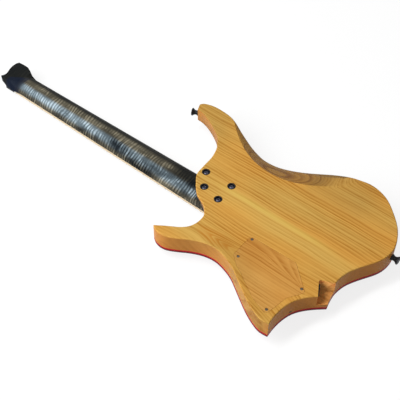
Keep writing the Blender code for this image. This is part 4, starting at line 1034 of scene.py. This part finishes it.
def add_bolt(number):
    """A domed bolt with a cross in its head, at the bottom of a ferrule."""
    node = "neck_bolt_%d" % number
    low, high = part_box(node)
    tall = high.z - low.z
    head = (high.x - low.x) / 2
    under = tall - 2.8 * MM
    rim = under + 0.9 * MM
    profile = [(0.0, 0.0), (2.0 * MM, 0.6 * MM), (2.2 * MM, under), (head, under), (head, rim)]
    for i in range(1, 7):
        angle = math.radians(15.0 * i)
        profile.append((head * math.cos(angle) if i < 6 else 0.0, rim + 1.9 * MM * math.sin(angle)))
    bars = cross_recess(size=3.0 * MM, depth=1.3 * MM, height=tall - 0.15 * MM, turn=0.5 + 0.6 * number)
    mesh = carve_out(finished(turned(profile, sides=40), "bolt"), bars)
    spot = middle("neck_ferrule_%d" % number)
    mesh.transform(Matrix.Translation((spot.x, spot.y, low.z)))
    dress(node, mesh, smooth=32.0, finish=finishes["bolt_head"])


def add_cover_screws():
    for number in CORNERS:
        node = "cover_screw_%d" % number
        low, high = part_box(node)
        centre = middle(node)
        tall = high.z - low.z
        head = (high.x - low.x) / 2
        under = tall - 1.4 * MM
        profile = [
            (0.0, 0.0), (1.25 * MM, 1.25 * MM), (1.25 * MM, under), (head, under), (head, under + 0.7 * MM),
            (head * 0.92, under + 1.05 * MM), (head * 0.6, under + 1.3 * MM), (0.0, under + 1.4 * MM),
        ]
        bars = cross_recess(size=1.4 * MM, depth=0.7 * MM, height=tall - 0.1 * MM, turn=0.9 * number)
        mesh = carve_out(finished(turned(profile, sides=32), "screw"), bars)
        mesh.transform(Matrix.Translation((centre.x, centre.y, low.z)))
        dress(node, mesh, smooth=32.0)


def add_strap_buttons():
    """Flared buttons, each with a screw sunk in its face."""
    ends = {mount["name"]: mount for mount in frame["record"]["mounts"]}
    for node in ("horn_strap_button", "tail_strap_button"):
        mount = ends[node + "_end"]
        axis = Vector(mount["axis"])
        base = Vector(mount["pos_m"]) - axis * (BUTTON_HEIGHT * MM)
        shape = turned(in_mm(BUTTON_PROFILE), sides=48)
        set_along(shape, base, axis)
        dress(node, shape, smooth=40.0)
        screw = finished(turned(in_mm(BUTTON_SCREW_PROFILE), sides=32), "screw")
        mesh = carve_out(screw, cross_recess(size=2.2 * MM, depth=1.0 * MM, height=12.2 * MM))
        mesh.transform(Matrix.Translation(base) @ axis.to_track_quat("Z", "X").to_matrix().to_4x4())
        add_black_screw(node + "_screw", mesh, smooth=32.0)


def add_output_jack():
    """A barrel jack whose ring shows at the slanted wall of the scoop."""
    node = "output_jack"
    outward = Vector(JACK_DIRECTION).normalized()
    centre = middle(node)
    along = [outward.dot(vertex.co) for vertex in frame["nodes"][node].data.vertices]
    front = max(along)
    length = front - min(along)
    origin = centre + outward * (front - outward.dot(centre))
    bottom = length - 2.0 * MM
    profile = [(0.0, length), (5.2 * MM, length)] + in_mm(JACK_RING_PROFILE)
    profile += [(3.3 * MM, bottom), (0.0, bottom)]
    shape = turned(profile, sides=64)
    set_along(shape, origin, -outward)
    dress(node, shape, smooth=30.0)


# Hardware on the front


def add_knobs():
    """Knurled knobs, each with a pale mark on its face."""
    for node in ("volume_knob", "tone_knob"):
        low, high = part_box(node)
        centre = middle(node)
        radius = (high.x - low.x) / 2
        tall = high.z - low.z
        profile = [
            (0.0, 0.5 * MM), (radius - 2.4 * MM, 0.4 * MM), (radius - 1.6 * MM, 0.0),
            (radius - 0.9 * MM, 0.05 * MM), (radius - 0.25 * MM, 0.6 * MM), (radius, 1.2 * MM),
            (radius, 11.2 * MM), (radius - 0.5 * MM, 11.6 * MM), (radius - 0.5 * MM, 13.0 * MM),
            (5.2 * MM, 13.0 * MM), (5.2 * MM, 10.4 * MM), (3.0 * MM, 10.4 * MM),
            (3.0 * MM, tall), (0.0, tall),
        ]
        ridged = (1.0 * MM, 11.3 * MM)
        shape = turned(profile, sides=144, ridges=36, ridge_depth=0.35 * MM, ridged=ridged)
        set_along(shape, (centre.x, centre.y, low.z), UP)
        dress(node, shape, smooth=28.0)
        mark = bmesh.new()
        inner, outer, half = radius - 2.6 * MM, radius - 0.5 * MM, 0.4 * MM
        bar = [(inner, -half), (outer, -half), (outer, half), (inner, half)]
        rings = []
        for z in (0.0, 0.9 * MM):
            rings.append([mark.verts.new((centre.x + x, centre.y + y, low.z + z)) for x, y in bar])
        join_rings(mark, rings)
        add_piece(node + "_mark", mark, body_of(node), "nut_plastic")


def add_tuner_knobs():
    """Knurled barrels with a bevelled end, on the screws of the tuners."""
    for number in STRINGS:
        node = "tuner_knob_%d" % number
        low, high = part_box(node)
        centre = middle(node)
        length = high.x - low.x
        start = length - 12.5 * MM
        radius = (high.z - low.z) / 2
        groove = radius - 0.5 * MM
        profile = [
            (0.0, 0.0), (1.2 * MM, 0.0), (1.4 * MM, 0.4 * MM), (1.4 * MM, start),
            (radius - 0.6 * MM, start), (radius - 0.3 * MM, start + 0.5 * MM),
            (radius, start + 1.0 * MM), (radius, start + 7.4 * MM),
            (groove, start + 7.8 * MM), (groove, start + 8.8 * MM), (radius, start + 9.2 * MM),
            (radius, length - 0.9 * MM), (radius - 0.7 * MM, length), (1.9 * MM, length),
            (1.7 * MM, length - 0.8 * MM), (0.0, length - 0.8 * MM),
        ]
        ridged = (start + 0.9 * MM, start + 7.5 * MM)
        shape = turned(profile, sides=96, ridges=24, ridge_depth=0.32 * MM, ridged=ridged)
        set_along(shape, (low.x, centre.y, centre.z), TO_TAIL)
        dress(node, shape, smooth=28.0)


def add_truss_wheel():
    """A spoked wheel on the end of the truss rod."""
    node = "truss_wheel"
    low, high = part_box(node)
    centre = middle(node)
    length = high.x - low.x
    radius = (high.z - low.z) / 2
    start = length - 6.0 * MM
    profile = [
        (0.0, 0.0), (1.7 * MM, 0.0), (1.7 * MM, start), (radius - 0.5 * MM, start),
        (radius, start + 0.5 * MM), (radius, length - 0.5 * MM), (radius - 0.5 * MM, length),
        (1.2 * MM, length), (1.0 * MM, length - 0.8 * MM), (0.0, length - 0.8 * MM),
    ]
    ridged = (start + 0.4 * MM, length - 0.4 * MM)
    shape = turned(profile, sides=64, ridges=8, ridge_depth=0.9 * MM, ridged=ridged)
    set_along(shape, (low.x, centre.y, centre.z), TO_TAIL)
    dress(node, shape, smooth=30.0)


def add_pickups():
    """Closed black covers with two rows of round poles."""
    for node, spread in (("neck_pickup", 50.0 * MM), ("bridge_pickup", 52.0 * MM)):
        refine(node, edge=0.9 * MM, smooth=40.0)
        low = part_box(node)[0]
        centre = middle(node)
        poles = bmesh.new()
        for number in STRINGS:
            y = MIDDLE_Y + spread * ((number - 1) / 5.0 - 0.5)
            for side in (-9.2 * MM, 9.2 * MM):
                add_disc(poles, (centre.x + side, y, low.z), DOWN, radius=2.4 * MM, proud=0.25 * MM)
        add_piece(node + "_poles", poles, "guitar_body", "bright_steel", smooth=35.0)


def add_bridge():
    """The bridge with its screws, and each saddle with its two height screws."""
    refine("bridge_base", edge=0.5 * MM)
    low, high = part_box("bridge_base")
    plate = 3.7 * MM
    screws = bmesh.new()
    for offset in (-21.0 * MM, 0.0, 21.0 * MM):
        spot = (low.x + 31.0 * MM, MIDDLE_Y + offset, high.z - plate)
        add_disc(screws, spot, DOWN, radius=2.0 * MM, proud=0.5 * MM)
    add_black_screw("bridge_screws", screws, smooth=35.0)
    for number in STRINGS:
        node = "saddle_%d" % number
        refine(node, edge=0.35 * MM, smooth=25.0)
        low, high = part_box(node)
        grubs = bmesh.new()
        for side in (-3.1 * MM, 3.1 * MM):
            spot = (high.x - 3.4 * MM, middle(node).y + side, low.z + 1.75 * MM)
            add_disc(grubs, spot, DOWN, radius=1.1 * MM, proud=0.5 * MM)
        add_piece(node + "_grubs", grubs, body_of(node), "grey_screw", smooth=35.0)
        refine("tuner_carriage_%d" % number)


def add_clamp():
    """The string clamp, with a socket screw sunk over each string."""
    node = "head_clamp"
    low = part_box(node)[0]
    centre = middle(node)
    pitch = 4.9 * MM
    sunk = 1.1 * MM
    places = [Vector((centre.x, centre.y + pitch * (number - 3.5), low.z)) for number in STRINGS]
    wells = []
    for place in places:
        well = turned([(0.0, -1.0 * MM), (2.1 * MM, -1.0 * MM), (2.1 * MM, sunk), (0.0, sunk)], sides=28)
        set_along(well, place, UP)
        wells.append(well)
    piece = dress(node, carve_out(finished(welded(node), "clamp"), wells), smooth=30.0)
    round_edges(piece, width=0.3 * MM, angle=35.0)
    even_shading(piece)
    tall = 0.9 * MM
    profile = [(0.0, 0.0), (2.0 * MM, 0.0), (2.0 * MM, 0.7 * MM), (1.8 * MM, tall), (0.0, tall)]
    for number, place in enumerate(places, 1):
        socket = hex_recess(size=1.15 * MM, depth=0.7 * MM)
        bmesh.ops.translate(socket, vec=(0.0, 0.0, tall), verts=socket.verts)
        mesh = carve_out(finished(turned(profile, sides=28), "grub"), [socket])
        spot = Matrix.Translation((place.x, place.y, place.z + sunk))
        mesh.transform(spot @ Matrix.Rotation(math.pi, 4, "X"))
        add_black_screw("clamp_screw_%d" % number, mesh, smooth=30.0)


add_camera()
bpy.context.scene.view_settings.view_transform = "Standard"
add_world()
add_key_light()
add_floor()
finishes = add_materials()
add_body()
add_front()
add_fingerboard()
add_frets()
add_position_dots()
for corner in CORNERS:
    add_ferrule(corner)
    add_bolt(corner)
add_cover_screws()
add_strap_buttons()
add_output_jack()
add_knobs()
add_tuner_knobs()
add_truss_wheel()
add_pickups()
add_bridge()
add_clamp()
refine("neck", smooth=32.0)
refine("control_cover", edge=0.25 * MM, smooth=40.0)
refine("nut", edge=0.3 * MM)
refine("switch_lever", smooth=50.0)
for round_node in ("switch_body", "volume_pot", "tone_pot"):
    refine(round_node, smooth=40.0)
